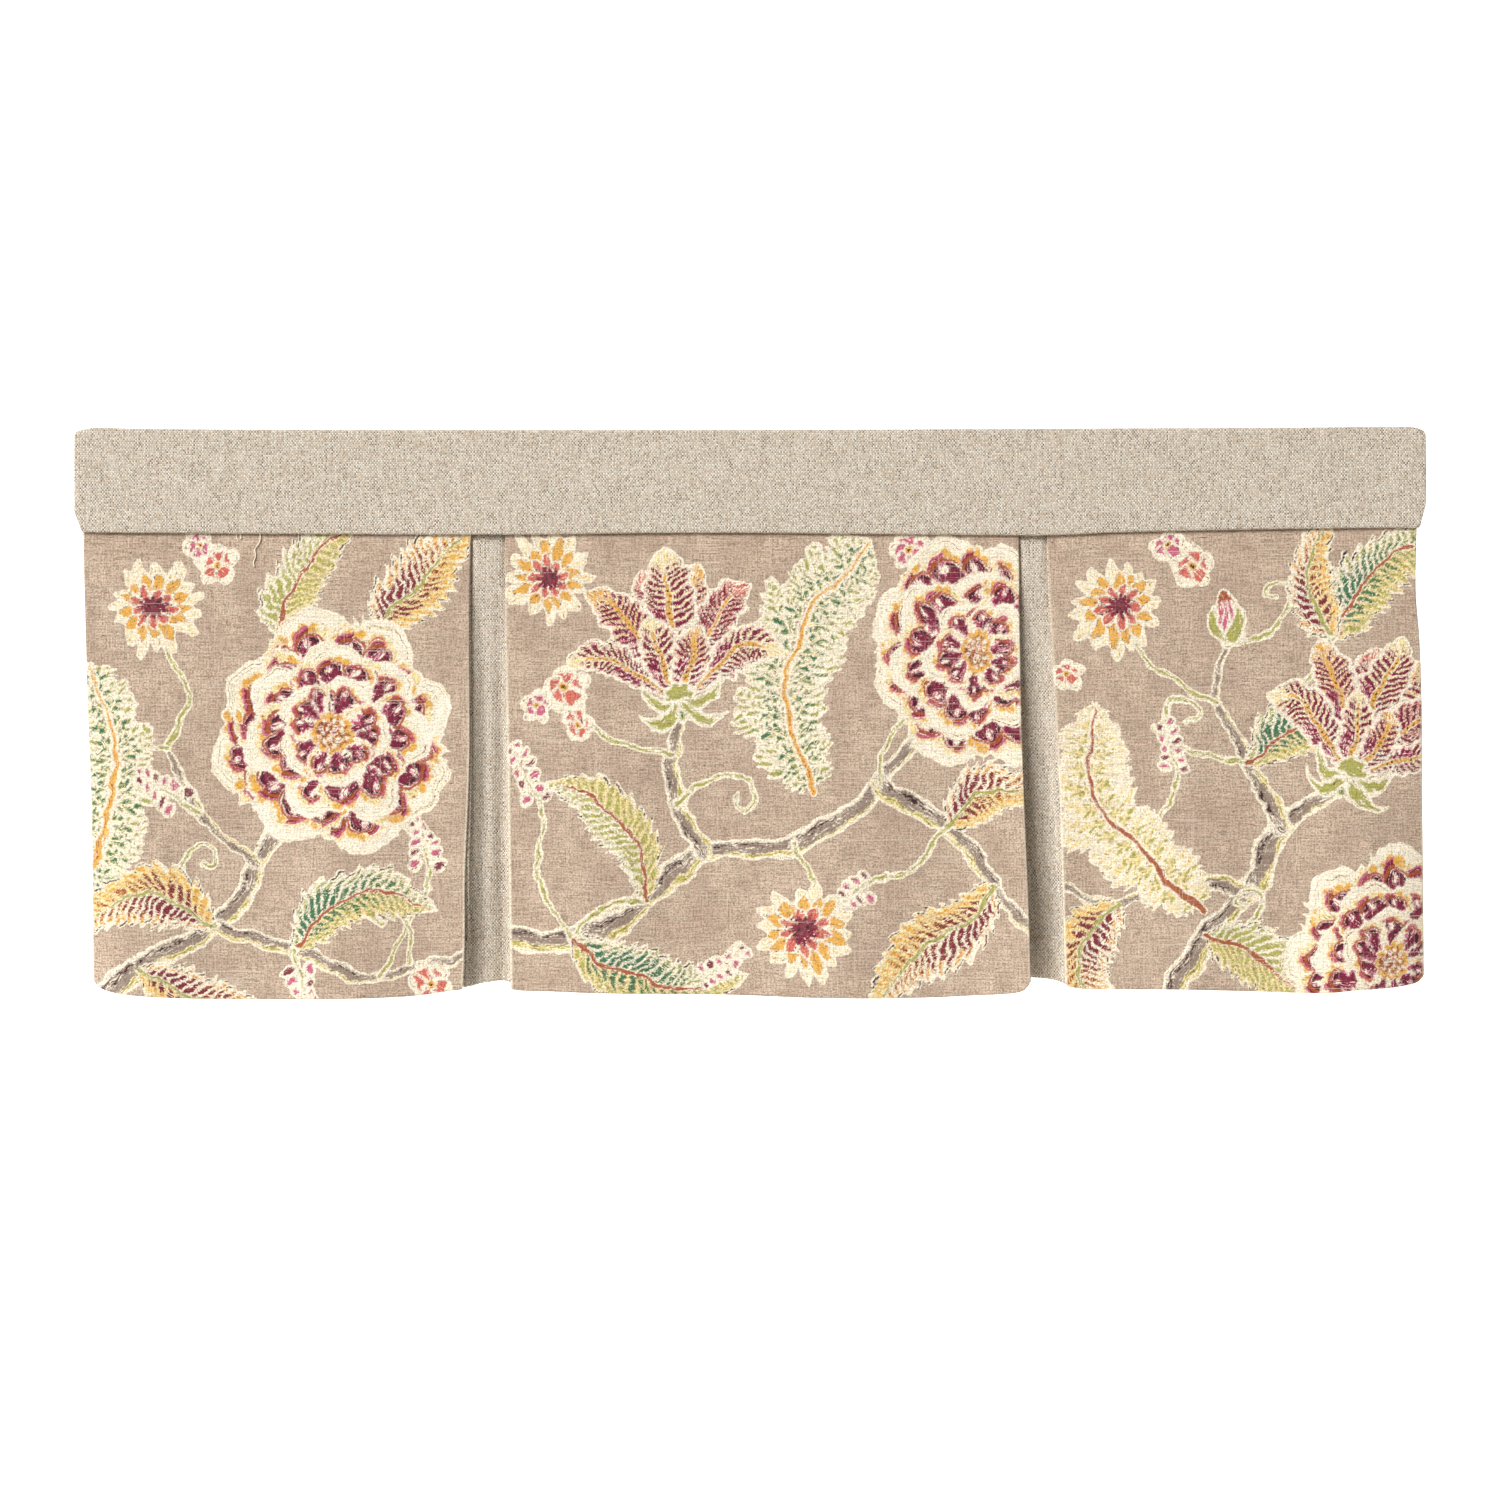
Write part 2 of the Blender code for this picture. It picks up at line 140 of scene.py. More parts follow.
# Panel outlines. An edge's rows are drop and place across, a hem's place across and drop
PANELS = {
    "panel_left": {
        "left_edge": (
            (0.087, -0.6278),
            (0.255, -0.6241),
            (0.349, -0.6212),
            (0.443, -0.6203),
            (0.514, -0.6199),
            (0.537, -0.6196),
        ),
        "right_edge": (
            (0.087, -0.2622),
            (0.180, -0.2639),
            (0.311, -0.2639),
            (0.424, -0.2681),
            (0.480, -0.2683),
            (0.537, -0.2704),
        ),
        "hem": (
            (-0.6200, 0.5172),
            (-0.6162, 0.5249),
            (-0.5964, 0.5311),
            (-0.5644, 0.5343),
            (-0.5259, 0.5362),
            (-0.4591, 0.5369),
            (-0.3255, 0.5343),
            (-0.2700, 0.5273),
        ),
        "side_turns": (OUTER_SIDE_TURN, PLEAT_SEAM_TURN),
    },
    "panel_centre": {
        "left_edge": (
            (0.087, -0.2306),
            (0.255, -0.2290),
            (0.400, -0.2271),
            (0.537, -0.2252),
        ),
        "right_edge": (
            (0.087, 0.2529),
            (0.255, 0.2549),
            (0.349, 0.2578),
            (0.443, 0.2615),
            (0.514, 0.2634),
            (0.537, 0.2640),
        ),
        "hem": (
            (-0.2253, 0.5278),
            (-0.2154, 0.5287),
            (-0.1928, 0.5291),
            (-0.1261, 0.5313),
            (-0.0151, 0.5328),
            (0.0602, 0.5351),
            (0.1496, 0.5357),
            (0.2164, 0.5328),
            (0.2554, 0.5290),
            (0.2640, 0.5208),
        ),
        "side_turns": (PLEAT_SEAM_TURN, PLEAT_SEAM_TURN),
    },
    "panel_right": {
        "left_edge": (
            (0.087, 0.2787),
            (0.255, 0.2869),
            (0.349, 0.2916),
            (0.443, 0.2944),
            (0.537, 0.2975),
        ),
        "right_edge": (
            (0.087, 0.6276),
            (0.151, 0.6266),
            (0.198, 0.6303),
            (0.255, 0.6327),
            (0.349, 0.6340),
            (0.443, 0.6359),
            (0.537, 0.6373),
        ),
        "hem": (
            (0.2973, 0.5245),
            (0.3180, 0.5273),
            (0.4036, 0.5274),
            (0.5061, 0.5304),
            (0.5400, 0.5309),
            (0.5654, 0.5287),
            (0.6049, 0.5259),
            (0.6246, 0.5231),
            (0.6322, 0.5205),
            (0.6370, 0.5160),
        ),
        "side_turns": (PLEAT_SEAM_TURN, OUTER_SIDE_TURN),
    },
}

# Soft folds of each panel at its hem: place across, lean per metre of drop, half width,
# how far it stands forward (minus is back)
PANEL_FOLDS = {
    "panel_left": (
        (-0.655, 0.00, 0.042, -0.0190),
        (-0.575, 0.02, 0.040, 0.0035),
        (-0.480, -0.03, 0.055, -0.0030),
        (-0.385, 0.02, 0.045, 0.0045),
        (-0.300, 0.00, 0.030, -0.0020),
    ),
    "panel_centre": (
        (-0.225, 0.00, 0.030, -0.0020),
        (-0.150, 0.03, 0.050, 0.0040),
        (-0.035, -0.03, 0.060, -0.0035),
        (0.080, 0.02, 0.055, 0.0045),
        (0.175, 0.00, 0.040, -0.0025),
        (0.275, 0.00, 0.040, 0.0080),
    ),
    "panel_right": (
        (0.330, 0.00, 0.035, -0.0025),
        (0.410, -0.02, 0.045, 0.0035),
        (0.490, 0.02, 0.040, -0.0025),
        (0.560, -0.02, 0.040, 0.0045),
        (0.672, 0.00, 0.046, -0.0210),
    ),
}
# Creases pressed into the skirt: from across and drop, to across and drop, half width,
# how far the crease stands forward (minus is a trough)
SKIRT_CREASES = (
    (-0.600, 0.110, -0.592, 0.300, 0.010, 0.0005),
    (-0.520, 0.100, -0.560, 0.240, 0.014, -0.0006),
    (-0.420, 0.110, -0.405, 0.330, 0.016, 0.0006),
    (-0.330, 0.260, -0.318, 0.520, 0.012, -0.0006),
    (-0.490, 0.380, -0.470, 0.530, 0.015, 0.0006),
    (-0.200, 0.100, -0.175, 0.280, 0.014, -0.0006),
    (-0.120, 0.330, -0.095, 0.530, 0.016, 0.0007),
    (-0.020, 0.105, -0.035, 0.260, 0.013, 0.0005),
    (0.045, 0.300, 0.030, 0.530, 0.014, -0.0006),
    (0.130, 0.110, 0.150, 0.360, 0.017, 0.0006),
    (0.215, 0.240, 0.205, 0.500, 0.012, -0.0006),
    (0.350, 0.105, 0.340, 0.300, 0.013, 0.0005),
    (0.440, 0.300, 0.455, 0.525, 0.015, -0.0006),
    (0.520, 0.100, 0.500, 0.260, 0.014, 0.0006),
    (0.600, 0.180, 0.596, 0.500, 0.011, -0.0007),
)
# Ripples where the skirt is gathered a hair into its seam: pitch, phase, height
SEAM_RIPPLES = (
    (0.0370, 0.4, 0.00030),
    (0.0230, 1.9, 0.00022),
    (0.0131, 4.0, 0.00012),
)
SEAM_RIPPLE_FADE = 0.030
HEM_RIDGE = 0.00035  # the doubled hem stands this far proud of the single cloth
HEM_RIDGE_SOFTNESS = 0.004

# Pleat inserts
PLEAT_DEPTH = 0.050
INSERT_SEAM_TURN = 0.010
INSERT_ROW_STEP = 0.0045
# The least weft between two columns where the cloth runs round a fold
INSERT_FOLD_STEP = 0.0022
# Columns of an insert's section: left lap, left fold, across, right fold, right lap
INSERT_PARTS = (14, 6, 40, 6, 14)
HEM_SPREAD = (0.400, 0.470)
LAP_LAYERS = (3, 5)
FOLD_LAYERS = (1, 2.2)
BACK_RELIEF_DROPS = (0.1, 0.4)
# Near the seam the back lies close behind the panels: how far forward, fading between drops
SEAM_RELIEF = 0.0036
SEAM_RELIEF_DROPS = (0.105, 0.200)
INSERTS = {
    "pleat_insert_left": {
        "between": ("panel_left", "panel_centre"),
        "hem": (
            (-0.330, 0.5235),
            (-0.266, 0.5257),
            (-0.254, 0.5230),
            (-0.242, 0.5211),
            (-0.232, 0.5211),
            (-0.225, 0.5240),
            (-0.170, 0.5235),
        ),
        # Drop, how far the rolled edge peeps out from its panel, left then right
        "rolls": (
            (0.087, 0.0003, 0.0003),
            (0.255, 0.0010, 0.0008),
            (0.443, 0.0038, 0.0010),
            (0.537, 0.0042, 0.0012),
        ),
        # Share of the way across the opening, how far the back stands behind its plain depth
        "back_relief": (
            (0.00, 0.0000),
            (0.10, 0.0015),
            (0.36, 0.0085),
            (0.50, 0.0070),
            (0.62, 0.0074),
            (0.88, 0.0115),
            (1.00, 0.0055),
        ),
    },
    "pleat_insert_right": {
        "between": ("panel_centre", "panel_right"),
        "hem": (
            (0.200, 0.5200),
            (0.264, 0.5174),
            (0.276, 0.5183),
            (0.287, 0.5198),
            (0.298, 0.5228),
            (0.350, 0.5225),
        ),
        "rolls": (
            (0.087, 0.0003, 0.0003),
            (0.255, 0.0003, 0.0014),
            (0.443, 0.0003, 0.0018),
            (0.537, 0.0003, 0.0022),
        ),
        "back_relief": (
            (0.00, 0.0130),
            (0.38, 0.0150),
            (0.76, 0.0124),
            (1.00, 0.0050),
        ),
    },
}

# The print. Each ink: its colour, how ragged its edge is, how soft its edge is
INKS = {
    "cream": ("#FAEFDA", 0.60, 0.12),
    "butter": ("#F0D898", 1.5, 0.20),
    "ochre": ("#E3A945", 1.5, 0.16),
    "olive": ("#A9A650", 1.6, 0.16),
    "green": ("#35704F", 1.6, 0.14),
    "rose": ("#C4557A", 1.5, 0.16),
    "coral": ("#CE5F50", 1.5, 0.16),
    "wine": ("#791D38", 1.5, 0.12),
    "bark": ("#8E7A6C", 1.9, 0.26),
    "rust": ("#A5552C", 1.3, 0.12),
    "line": ("#3B2226", 1.3, 0.10),
}
CREAM_WASH = "#F2E2B6"
INK_STRENGTH = 0.96
WRONG_SIDE_INK = 0.24
STROKE_LENGTH = 9.0  # millimetres along and across a brush hair's track
STROKE_WIDTH = 1.3
CLOTH_COLOURS = {"ground": "#BDA693", "oatmeal": "#E0D1BD"}
GROUND_LIGHT = "#CCB6A1"
GROUND_WORN = "#B19A83"
SLUB_COLOUR = "#E2D0BD"
PRINT_THREAD_RUN = 0.016  # metres before a thread's thickness changes
# Painted highlight: a pale line along the panels' rolled side edges
EDGE_HIGHLIGHT = "#F2E8CF"
OATMEAL_DARK = "#BDA78C"
# Painted highlight on the oatmeal's raised knuckles, and painted shade in the gaps where a thread dives under
OATMEAL_KNUCKLE_HIGHLIGHT = "#FFFCF2"
OATMEAL_GAP_SHADE = "#5B4835"
OATMEAL_DRIFT = 0.0012  # metres that the oatmeal threads stray
OATMEAL_CALM = 0.32
INK_EDGE = 3.0  # ink thins out over this many millimetres, so its edge falls between points
LEAF_INKS = {
    "green": ("green", "olive", "rust"),
    "olive": ("olive", "olive", "rust"),
    "autumn": ("wine", "ochre", "olive"),
    "plume": ("green", "olive", "ochre"),
    "pale plume": ("olive", "butter", "rust"),
}
# Rings of the round flower: how many petals, how far they reach, how wide
ROUND_FLOWER_RINGS = (
    (8, 98, 45),
    (7, 74, 38),
    (5, 44, 29),
)
# Pointed teeth round the tip of each outer petal of the round flower
FRILL_SPIKES = 8
# The drawing hand's wander: pitch, reach, turn
HAND_WANDER = (
    (83.0, 2.6, 0.4),
    (31.0, 1.1, 1.3),
    (12.0, 0.55, 2.2),
)
# Petals of the feathered flower, back to front: curve, half width, ink of the tip
FEATHERED_PETALS = (
    (((0, 8), (-10, 70), (-22, 132)), 19, "coral"),
    (((0, 8), (12, 72), (26, 128)), 19, "ochre"),
    (((0, 8), (-1, 70), (3, 150)), 21, "butter"),
    (((0, 8), (-24, 58), (-56, 104), (-72, 118)), 20, "ochre"),
    (((0, 8), (26, 56), (58, 98), (76, 108)), 20, "coral"),
    (((0, 6), (-34, 36), (-70, 58), (-98, 52)), 16, "butter"),
    (((0, 6), (36, 34), (72, 52), (98, 42)), 16, "butter"),
    (((0, 6), (-10, 44), (-18, 84)), 16, "butter"),
    (((0, 6), (12, 42), (20, 78)), 16, "ochre"),
)
FEATHERED_SEPALS = (
    ((0, 4), (-18, 2), (-32, 14), (-34, 28)),
    ((0, 4), (-14, -8), (-30, -10), (-42, 0)),
    ((0, 4), (18, 2), (32, 12), (36, 26)),
    ((0, 4), (14, -8), (30, -12), (43, -4)),
)
# A tendril's curl: points for a reach of 1, and half its width in millimetres
CURL_POINTS = (
    (0, 0), (0.35, 0.14), (0.68, 0.13), (0.93, 0.0),
    (0.98, -0.2), (0.83, -0.31), (0.69, -0.22), (0.76, -0.11),
)
CURL_HALF_WIDTH = 1.7
# Every motif of each panel in millimetres, back to front
PRINT_LAYOUT = {
    "panel_left": (
        ("branch", ((-640, -560), (-575, -505), (-505, -470), (-462, -410), (-430, -340)), 13, 8),
        ("branch", ((-505, -470), (-430, -492), (-350, -515), (-262, -492)), 8, 4),
        ("branch", ((-462, -410), (-520, -360), (-545, -300)), 7, 4),
        ("stem", ((-350, -515), (-325, -470), (-300, -430)), 1.9),
        ("stem", ((-545, -300), (-530, -250), (-548, -205)), 2.0),
        ("curl", (-500, -470), 2.0, 80, 1),
        ("curl", (-320, -505), 1.9, 70, -1),
        ("curl", (-545, -300), 2.6, 70, 1),
        ("plume", ((-640, -455), (-612, -395), (-598, -310), (-620, -220)), 46, "plume"),
        ("leaf", ((-505, -470), (-545, -440), (-595, -445), (-640, -480)), 27, "autumn"),
        ("leaf", ((-350, -190), (-322, -155), (-295, -125), (-262, -92)), 31, "autumn"),
        ("leaf", ((-440, -196), (-436, -158), (-412, -124), (-376, -92)), 25, "olive"),
        ("leaf", ((-430, -492), (-395, -450), (-345, -436), (-292, -452)), 26, "green"),
        ("leaf", ((-575, -505), (-540, -528), (-495, -540), (-450, -548)), 22, "autumn"),
        ("berries", (-300, -430), 0.3, 1.0),
        ("berries", (-520, -360), 1.1, 1.0),
        ("berries", (-430, -492), 3.5, 0.9),
        ("floret", (-500, -128), 0.3, 1.5, "coral"),
        ("floret", (-520, -108), 0.9, 1.1, "rose"),
        ("floret", (-300, -520), 0.9, 1.3, "coral"),
        ("bud", (-262, -490), 5.2, 1.2, "rose"),
        ("star flower", (-560, -168), 0.2, 1.02),
        ("round flower", (-392, -285), 0.3, 1.04),
    ),
    "panel_centre": (
        (
            "branch",
            ((-250, -475), (-165, -482), (-95, -440), (-45, -400), (40, -392), (120, -335), (178, -262)),
            13, 7,
        ),
        ("branch", ((-45, -400), (-66, -352), (-74, -305), (-66, -266)), 9, 6),
        ("branch", ((120, -335), (185, -372), (232, -430), (270, -480)), 9, 6),
        ("branch", ((-165, -482), (-120, -520), (-60, -545)), 7, 4),
        ("stem", ((40, -392), (62, -430), (50, -470)), 2.1),
        ("stem", ((-165, -482), (-200, -425), (-196, -365)), 1.8),
        ("stem", ((-74, -305), (-130, -290), (-172, -250)), 1.9),
        ("stem", ((185, -372), (160, -410), (128, -420)), 1.8),
        ("curl", (120, -335), 1.1, 80, 1),
        ("curl", (-95, -440), 3.7, 84, -1),
        ("curl", (232, -430), 3.9, 70, 1),
        ("curl", (-66, -352), 0.3, 74, 1),
        ("plume", ((62, -345), (34, -265), (50, -185), (112, -108)), 56, "plume"),
        ("leaf", ((-165, -482), (-125, -508), (-65, -525), (0, -512)), 27, "green"),
        ("leaf", ((232, -430), (200, -466), (150, -500), (112, -545)), 29, "autumn"),
        ("leaf", ((-95, -440), (-108, -392), (-142, -352), (-190, -330)), 24, "olive"),
        ("leaf", ((185, -372), (212, -345), (245, -338), (282, -350)), 23, "autumn"),
        ("berries", (-196, -365), 0.4, 1.05),
        ("berries", (128, -420), 2.2, 0.95),
        ("berries", (-60, -520), 5.2, 0.9),
        ("floret", (-172, -246), 0.4, 1.6, "coral"),
        ("floret", (-202, -262), 0.2, 1.2, "rose"),
        ("floret", (-160, -276), 0.2, 1.1, "coral"),
        ("floret", (150, -112), 0.6, 1.2, "rose"),
        ("star flower", (-190, -140), 0.5, 1.0),
        ("star flower", (52, -474), 0.1, 1.05),
        ("feathered flower", (-64, -264), 0.12, 1.03),
        ("round flower", (214, -210), 1.2, 0.98),
    ),
    "panel_right": (
        ("branch", ((385, -560), (425, -480), (472, -432), (500, -372), (555, -335)), 13, 8),
        ("branch", ((500, -372), (468, -312), (438, -255), (450, -200)), 8, 4),
        ("branch", ((472, -432), (400, -424), (345, -444), (283, -430)), 7, 4),
        ("stem", ((438, -255), (400, -240), (362, -200)), 2.0),
        ("stem", ((400, -424), (385, -380), (398, -340)), 1.8),
        ("curl", (468, -312), 2.7, 90, 1),
        ("curl", (425, -480), 0.5, 70, -1),
        ("curl", (450, -200), 0.6, 76, -1),
        ("plume", ((425, -452), (375, -405), (326, -350), (322, -262)), 46, "pale plume"),
        ("leaf", ((468, -312), (510, -282), (562, -274), (625, -296)), 29, "green"),
        ("leaf", ((425, -480), (470, -492), (515, -525), (548, -565)), 27, "olive"),
        ("leaf", ((345, -444), (318, -478), (312, -515), (338, -560)), 27, "autumn"),
        ("leaf", ((548, -196), (572, -152), (604, -122), (650, -100)), 31, "green"),
        ("leaf", ((548, -196), (530, -160), (528, -125), (548, -88)), 22, "autumn"),
        ("stem", ((500, -260), (530, -230), (548, -196)), 2.0),
        ("berries", (398, -340), 0.1, 1.0),
        ("berries", (283, -430), 1.1, 1.0),
        ("berries", (562, -240), 5.0, 0.9),
        ("floret", (415, -128), 0.4, 1.4, "coral"),
        ("floret", (392, -112), 0.4, 1.1, "rose"),
        ("floret", (300, -232), 0.4, 1.2, "coral"),
        ("bud", (450, -198), 0.1, 1.35, "rose"),
        ("star flower", (345, -168), 0.9, 1.0),
        ("feathered flower", (562, -334), -0.35, 1.0),
        ("round flower", (606, -500), 0.7, 0.95),
    ),
}

# Loose ends of yarn at the heading's seam: places across and drops
YARN_RADIUS = 0.00065
YARN_COLOUR = "#F6ECD8"
LOOSE_THREADS = (
    ((-0.4612, 0.0970), (-0.4604, 0.1035), (-0.4622, 0.1085), (-0.4655, 0.1130), (-0.4648, 0.1190),
     (-0.4668, 0.1260), (-0.4660, 0.1300)),
    ((-0.4822, 0.0970), (-0.4830, 0.1015), (-0.4812, 0.1050)),
    ((-0.4796, 0.0970), (-0.4785, 0.1020), (-0.4792, 0.1038)),
)
# How strongly a painted highlight lies along each panel's rolled side edges, left and right, and the drops
# between which it grows
PANEL_EDGE_HIGHLIGHT = {
    "panel_left": (0.25, 1.0, 0.12, 0.34),
    "panel_centre": (1.0, 0.45, 0.12, 0.34),
    "panel_right": (1.0, 0.85, 0.10, 0.42),
}
EDGE_HIGHLIGHT_WIDTH = 0.0016

# How far apart the rows and columns of each panel's grid lie
PANEL_GRIDS = {
    "panel_left": 0.0045,
    "panel_centre": 0.0051,
    "panel_right": 0.0045,
}

# Stage: the floor sweeps up into a backdrop behind the valance
STAGE_HALF_WIDTH = 4.0
STAGE_FRONT = -1.2
STAGE_BACK = 2.4
STAGE_SWEEP = 1.4
STAGE_FLOOR_Z = -1.7
STAGE_WALL_HEIGHT = 4.0
STAGE_GLOW = 0.5
WORLD_STRENGTH = 0.12
WORLD_COLOUR = "#FFF1E0"
# Soft lights: name, place, aim, size, watts
STAGE_LIGHTS = (
    ("key light", (-13.8, -15.6, 12.3), (0.0, 0.0, -0.3), (13.0, 10.8), 7900.0),
)
SENSOR_WIDTH = 36.0
CAMERA_DISTANCE = 2.75
VIEW_WIDTH = 1.411
VIEW_MIDDLE_Z = -0.302


def linear(hex_colour):
    """An sRGB hex colour as linear red, green, blue and alpha."""
    channels = [int(hex_colour[i : i + 2], 16) / 255 for i in (1, 3, 5)]
    bent = [c / 12.92 if c <= 0.04045 else ((c + 0.055) / 1.055) ** 2.4 for c in channels]
    return (*bent, 1.0)


def mix(start, end, share):
    """The value that share of the way from start to end."""
    return start + (end - start) * share


def ease(value, start, end):
    """0 before start, 1 after end, with a soft rise between."""
    share = np.clip((value - start) / (end - start), 0.0, 1.0)
    return share * share * (3 - 2 * share)


def read_table(table, places, column=1):
    """A column of a short table as a smooth curve over its first column, level past its ends."""
    rows = np.array(table, float)
    at, values = rows[:, 0], rows[:, column]
    slopes = np.empty(len(at))
    slopes[1:-1] = (values[2:] - values[:-2]) / (at[2:] - at[:-2])
    slopes[0] = (values[1] - values[0]) / (at[1] - at[0])
    slopes[-1] = (values[-1] - values[-2]) / (at[-1] - at[-2])
    places = np.clip(places, at[0], at[-1])
    row = np.clip(np.searchsorted(at, places, side="right") - 1, 0, len(at) - 2)
    span = at[row + 1] - at[row]
    share = (places - at[row]) / span
    squared = share * share
    cubed = squared * share
    return (
        (2 * cubed - 3 * squared + 1) * values[row]
        + (cubed - 2 * squared + share) * span * slopes[row]
        + (3 * squared - 2 * cubed) * values[row + 1]
        + (cubed - squared) * span * slopes[row + 1]
    )


def skirt_depth(panel, x, drop):
    """How far the skirt's right side lies from the room: a panel's soft folds, the creases
    pressed into it and the small ripples under its seam."""
    growth = ease(drop, FOLDS_START_DROP, FOLDS_END_DROP)
    growth = growth / ease(LONGEST_DROP, FOLDS_START_DROP, FOLDS_END_DROP)
    forward = 0.0
    for centre, lean, half_width, reach in PANEL_FOLDS[panel]:
        middle = centre + lean * (LONGEST_DROP - drop)
        forward = forward + growth * reach * np.exp(-(((x - middle) / half_width) ** 2))
    free = ease(drop, FOLDS_START_DROP, FOLDS_START_DROP + SEAM_RIPPLE_RISE)
    for start_x, start_drop, end_x, end_drop, half_width, reach in SKIRT_CREASES:
        share = (drop - start_drop) / (end_drop - start_drop)
        middle = start_x + (end_x - start_x) * share + CREASE_WANDER * np.sin(share * 5 + start_x * 40)
        fade = ease(share, -0.15, 0.35) * (1 - ease(share, 0.65, 1.15))
        forward = forward + free * fade * reach * np.exp(-(((x - middle) / half_width) ** 2))
    fade = free * (1 - ease(drop, FOLDS_START_DROP, FOLDS_START_DROP + SEAM_RIPPLE_FADE))
    for pitch, phase, height in SEAM_RIPPLES:
        forward = forward + fade * height * np.sin(2 * math.pi * x / pitch + phase)
    return SKIRT_FACE_Y - forward


def heading_face(along, down):
    """Places on the band's right side, by shares along it and down it."""
    across = HEADING_WIDTH * (along - 0.5)
    top = HEM_TURN_RADIUS - read_table(HEADING_TOP, across)
    drop = mix(top, read_table(HEADING_SEAM, across) - HEM_TURN_RADIUS, down)
    left = SIDE_TURN_RADIUS - read_table(HEADING_ENDS, drop, 1)
    right = read_table(HEADING_ENDS, drop, 2) - SIDE_TURN_RADIUS
    x = mix(left, right, along)
    depth = np.full_like(x, HEADING_FACE_Y)
    for middle, middle_drop, half_width, half_height, back in HEADING_DENTS:
        away = ((x - middle) / half_width) ** 2 + ((drop - middle_drop) / half_height) ** 2
        depth += back * np.exp(-away)
    return np.stack((x, depth, -drop), axis=1)


def panel_face(panel):
    """A function for places on a panel's right side, by shares along it and down it."""
    outline = PANELS[panel]

    def across(along, drop):
        left = read_table(outline["left_edge"], drop) + SIDE_TURN_RADIUS
        right = read_table(outline["right_edge"], drop) - SIDE_TURN_RADIUS
        return mix(left, right, along)

    def face(along, down):
        at_hem = across(along, np.full_like(along, LONGEST_DROP))
        hem = read_table(outline["hem"], at_hem) - HEM_TURN_RADIUS
        drop = mix(SKIRT_TOP_DROP, hem, down)
        x = across(along, drop)
        hem_step = HEM_RIDGE * ease(hem - drop, HEM_HEIGHT + HEM_RIDGE_SOFTNESS, HEM_HEIGHT)
        return np.stack((x, skirt_depth(panel, x, drop) - hem_step, -drop), axis=1)

    return face


def insert_section(name, along, drop):
    """Places across and depths of the middle of an insert's cloth, by share along its folded
    section: behind the left panel, round, across the opening, round, behind the right panel."""
    insert = INSERTS[name]
    left_panel, right_panel = insert["between"]
    spread = ease(drop, *HEM_SPREAD)
    lap_gap = mix(*LAP_LAYERS, spread) * LAYER_PITCH
    fold_gap = mix(*FOLD_LAYERS, spread) * LAYER_PITCH
    left_edge = read_table(PANELS[left_panel]["right_edge"], drop)
    right_edge = read_table(PANELS[right_panel]["left_edge"], drop)
    left_roll = left_edge + read_table(insert["rolls"], drop, 1) - SIDE_TURN_RADIUS
    right_roll = right_edge - read_table(insert["rolls"], drop, 2) + SIDE_TURN_RADIUS
    left_fold = left_edge - PLEAT_DEPTH
    right_fold = right_edge + PLEAT_DEPTH

    def lap(panel, x):
        return skirt_depth(panel, x, drop) + SOLID_HALF + lap_gap

    def back(x):
        share = ease(x, left_edge, right_edge)
        depth = mix(lap(left_panel, x), lap(right_panel, x), share)
        opening = (x - left_edge) / (right_edge - left_edge)
        fade = ease(x, left_fold, left_edge) * (1 - ease(x, right_edge, right_fold))
        relief = read_table(insert["back_relief"], opening)
        near_seam = ease(opening, -0.04, 0.12) * (1 - ease(opening, 0.88, 1.04))
        near_seam = near_seam * (1 - ease(drop, *SEAM_RELIEF_DROPS))
        depth = depth + fold_gap - SEAM_RELIEF * near_seam
        return depth + relief * fade * ease(drop, *BACK_RELIEF_DROPS)

    stops = np.cumsum((0,) + INSERT_PARTS) / sum(INSERT_PARTS)
    part = np.clip(np.searchsorted(stops, along, side="right") - 1, 0, len(INSERT_PARTS) - 1)
    share = (along - stops[part]) / (stops[part + 1] - stops[part])
    turn = math.pi * share
    left_radius = (back(left_fold) - lap(left_panel, left_fold)) / 2
    right_radius = (back(right_fold) - lap(right_panel, right_fold)) / 2
    behind_left = mix(left_roll, left_fold, share)
    behind_right = mix(right_fold, right_roll, share)
    across = mix(left_fold, right_fold, share)
    x = np.choose(
        part,
        (
            behind_left,
            left_fold - left_radius * np.sin(turn),
            across,
            right_fold + right_radius * np.sin(turn),
            behind_right,
        ),
    )
    y = np.choose(
        part,
        (
            lap(left_panel, behind_left),
            lap(left_panel, left_fold) + left_radius * (1 - np.cos(turn)),
            back(across),
            back(right_fold) - right_radius * (1 - np.cos(turn)),
            lap(right_panel, behind_right),
        ),
    )
    return x, y


def insert_face(name):
    """A function for places on an insert's right side, by shares along it and down it."""

    def face(along, down):
        x_at_hem, _ = insert_section(name, along, np.full_like(along, LONGEST_DROP))
        hem = read_table(INSERTS[name]["hem"], x_at_hem) - HEM_TURN_RADIUS
        drop = mix(SKIRT_TOP_DROP, hem, down)
        x, y = insert_section(name, along, drop)
        near = 0.0004
        before = insert_section(name, np.clip(along - near, 0, 1), drop)
        after = insert_section(name, np.clip(along + near, 0, 1), drop)
        run_x, run_y = after[0] - before[0], after[1] - before[1]
        length = np.hypot(run_x, run_y)
        out_x, out_y = run_y / length, -run_x / length
        return np.stack((x + SOLID_HALF * out_x, y + SOLID_HALF * out_y, -drop), axis=1)

    return face


def level_run(face, along, down, step=0.0005):
    """The level direction along the cloth at each place, one metre long."""
    run = face(np.clip(along + step, 0, 1), down) - face(np.clip(along - step, 0, 1), down)
    run[:, 2] = 0
    return run / np.linalg.norm(run, axis=1, keepdims=True)


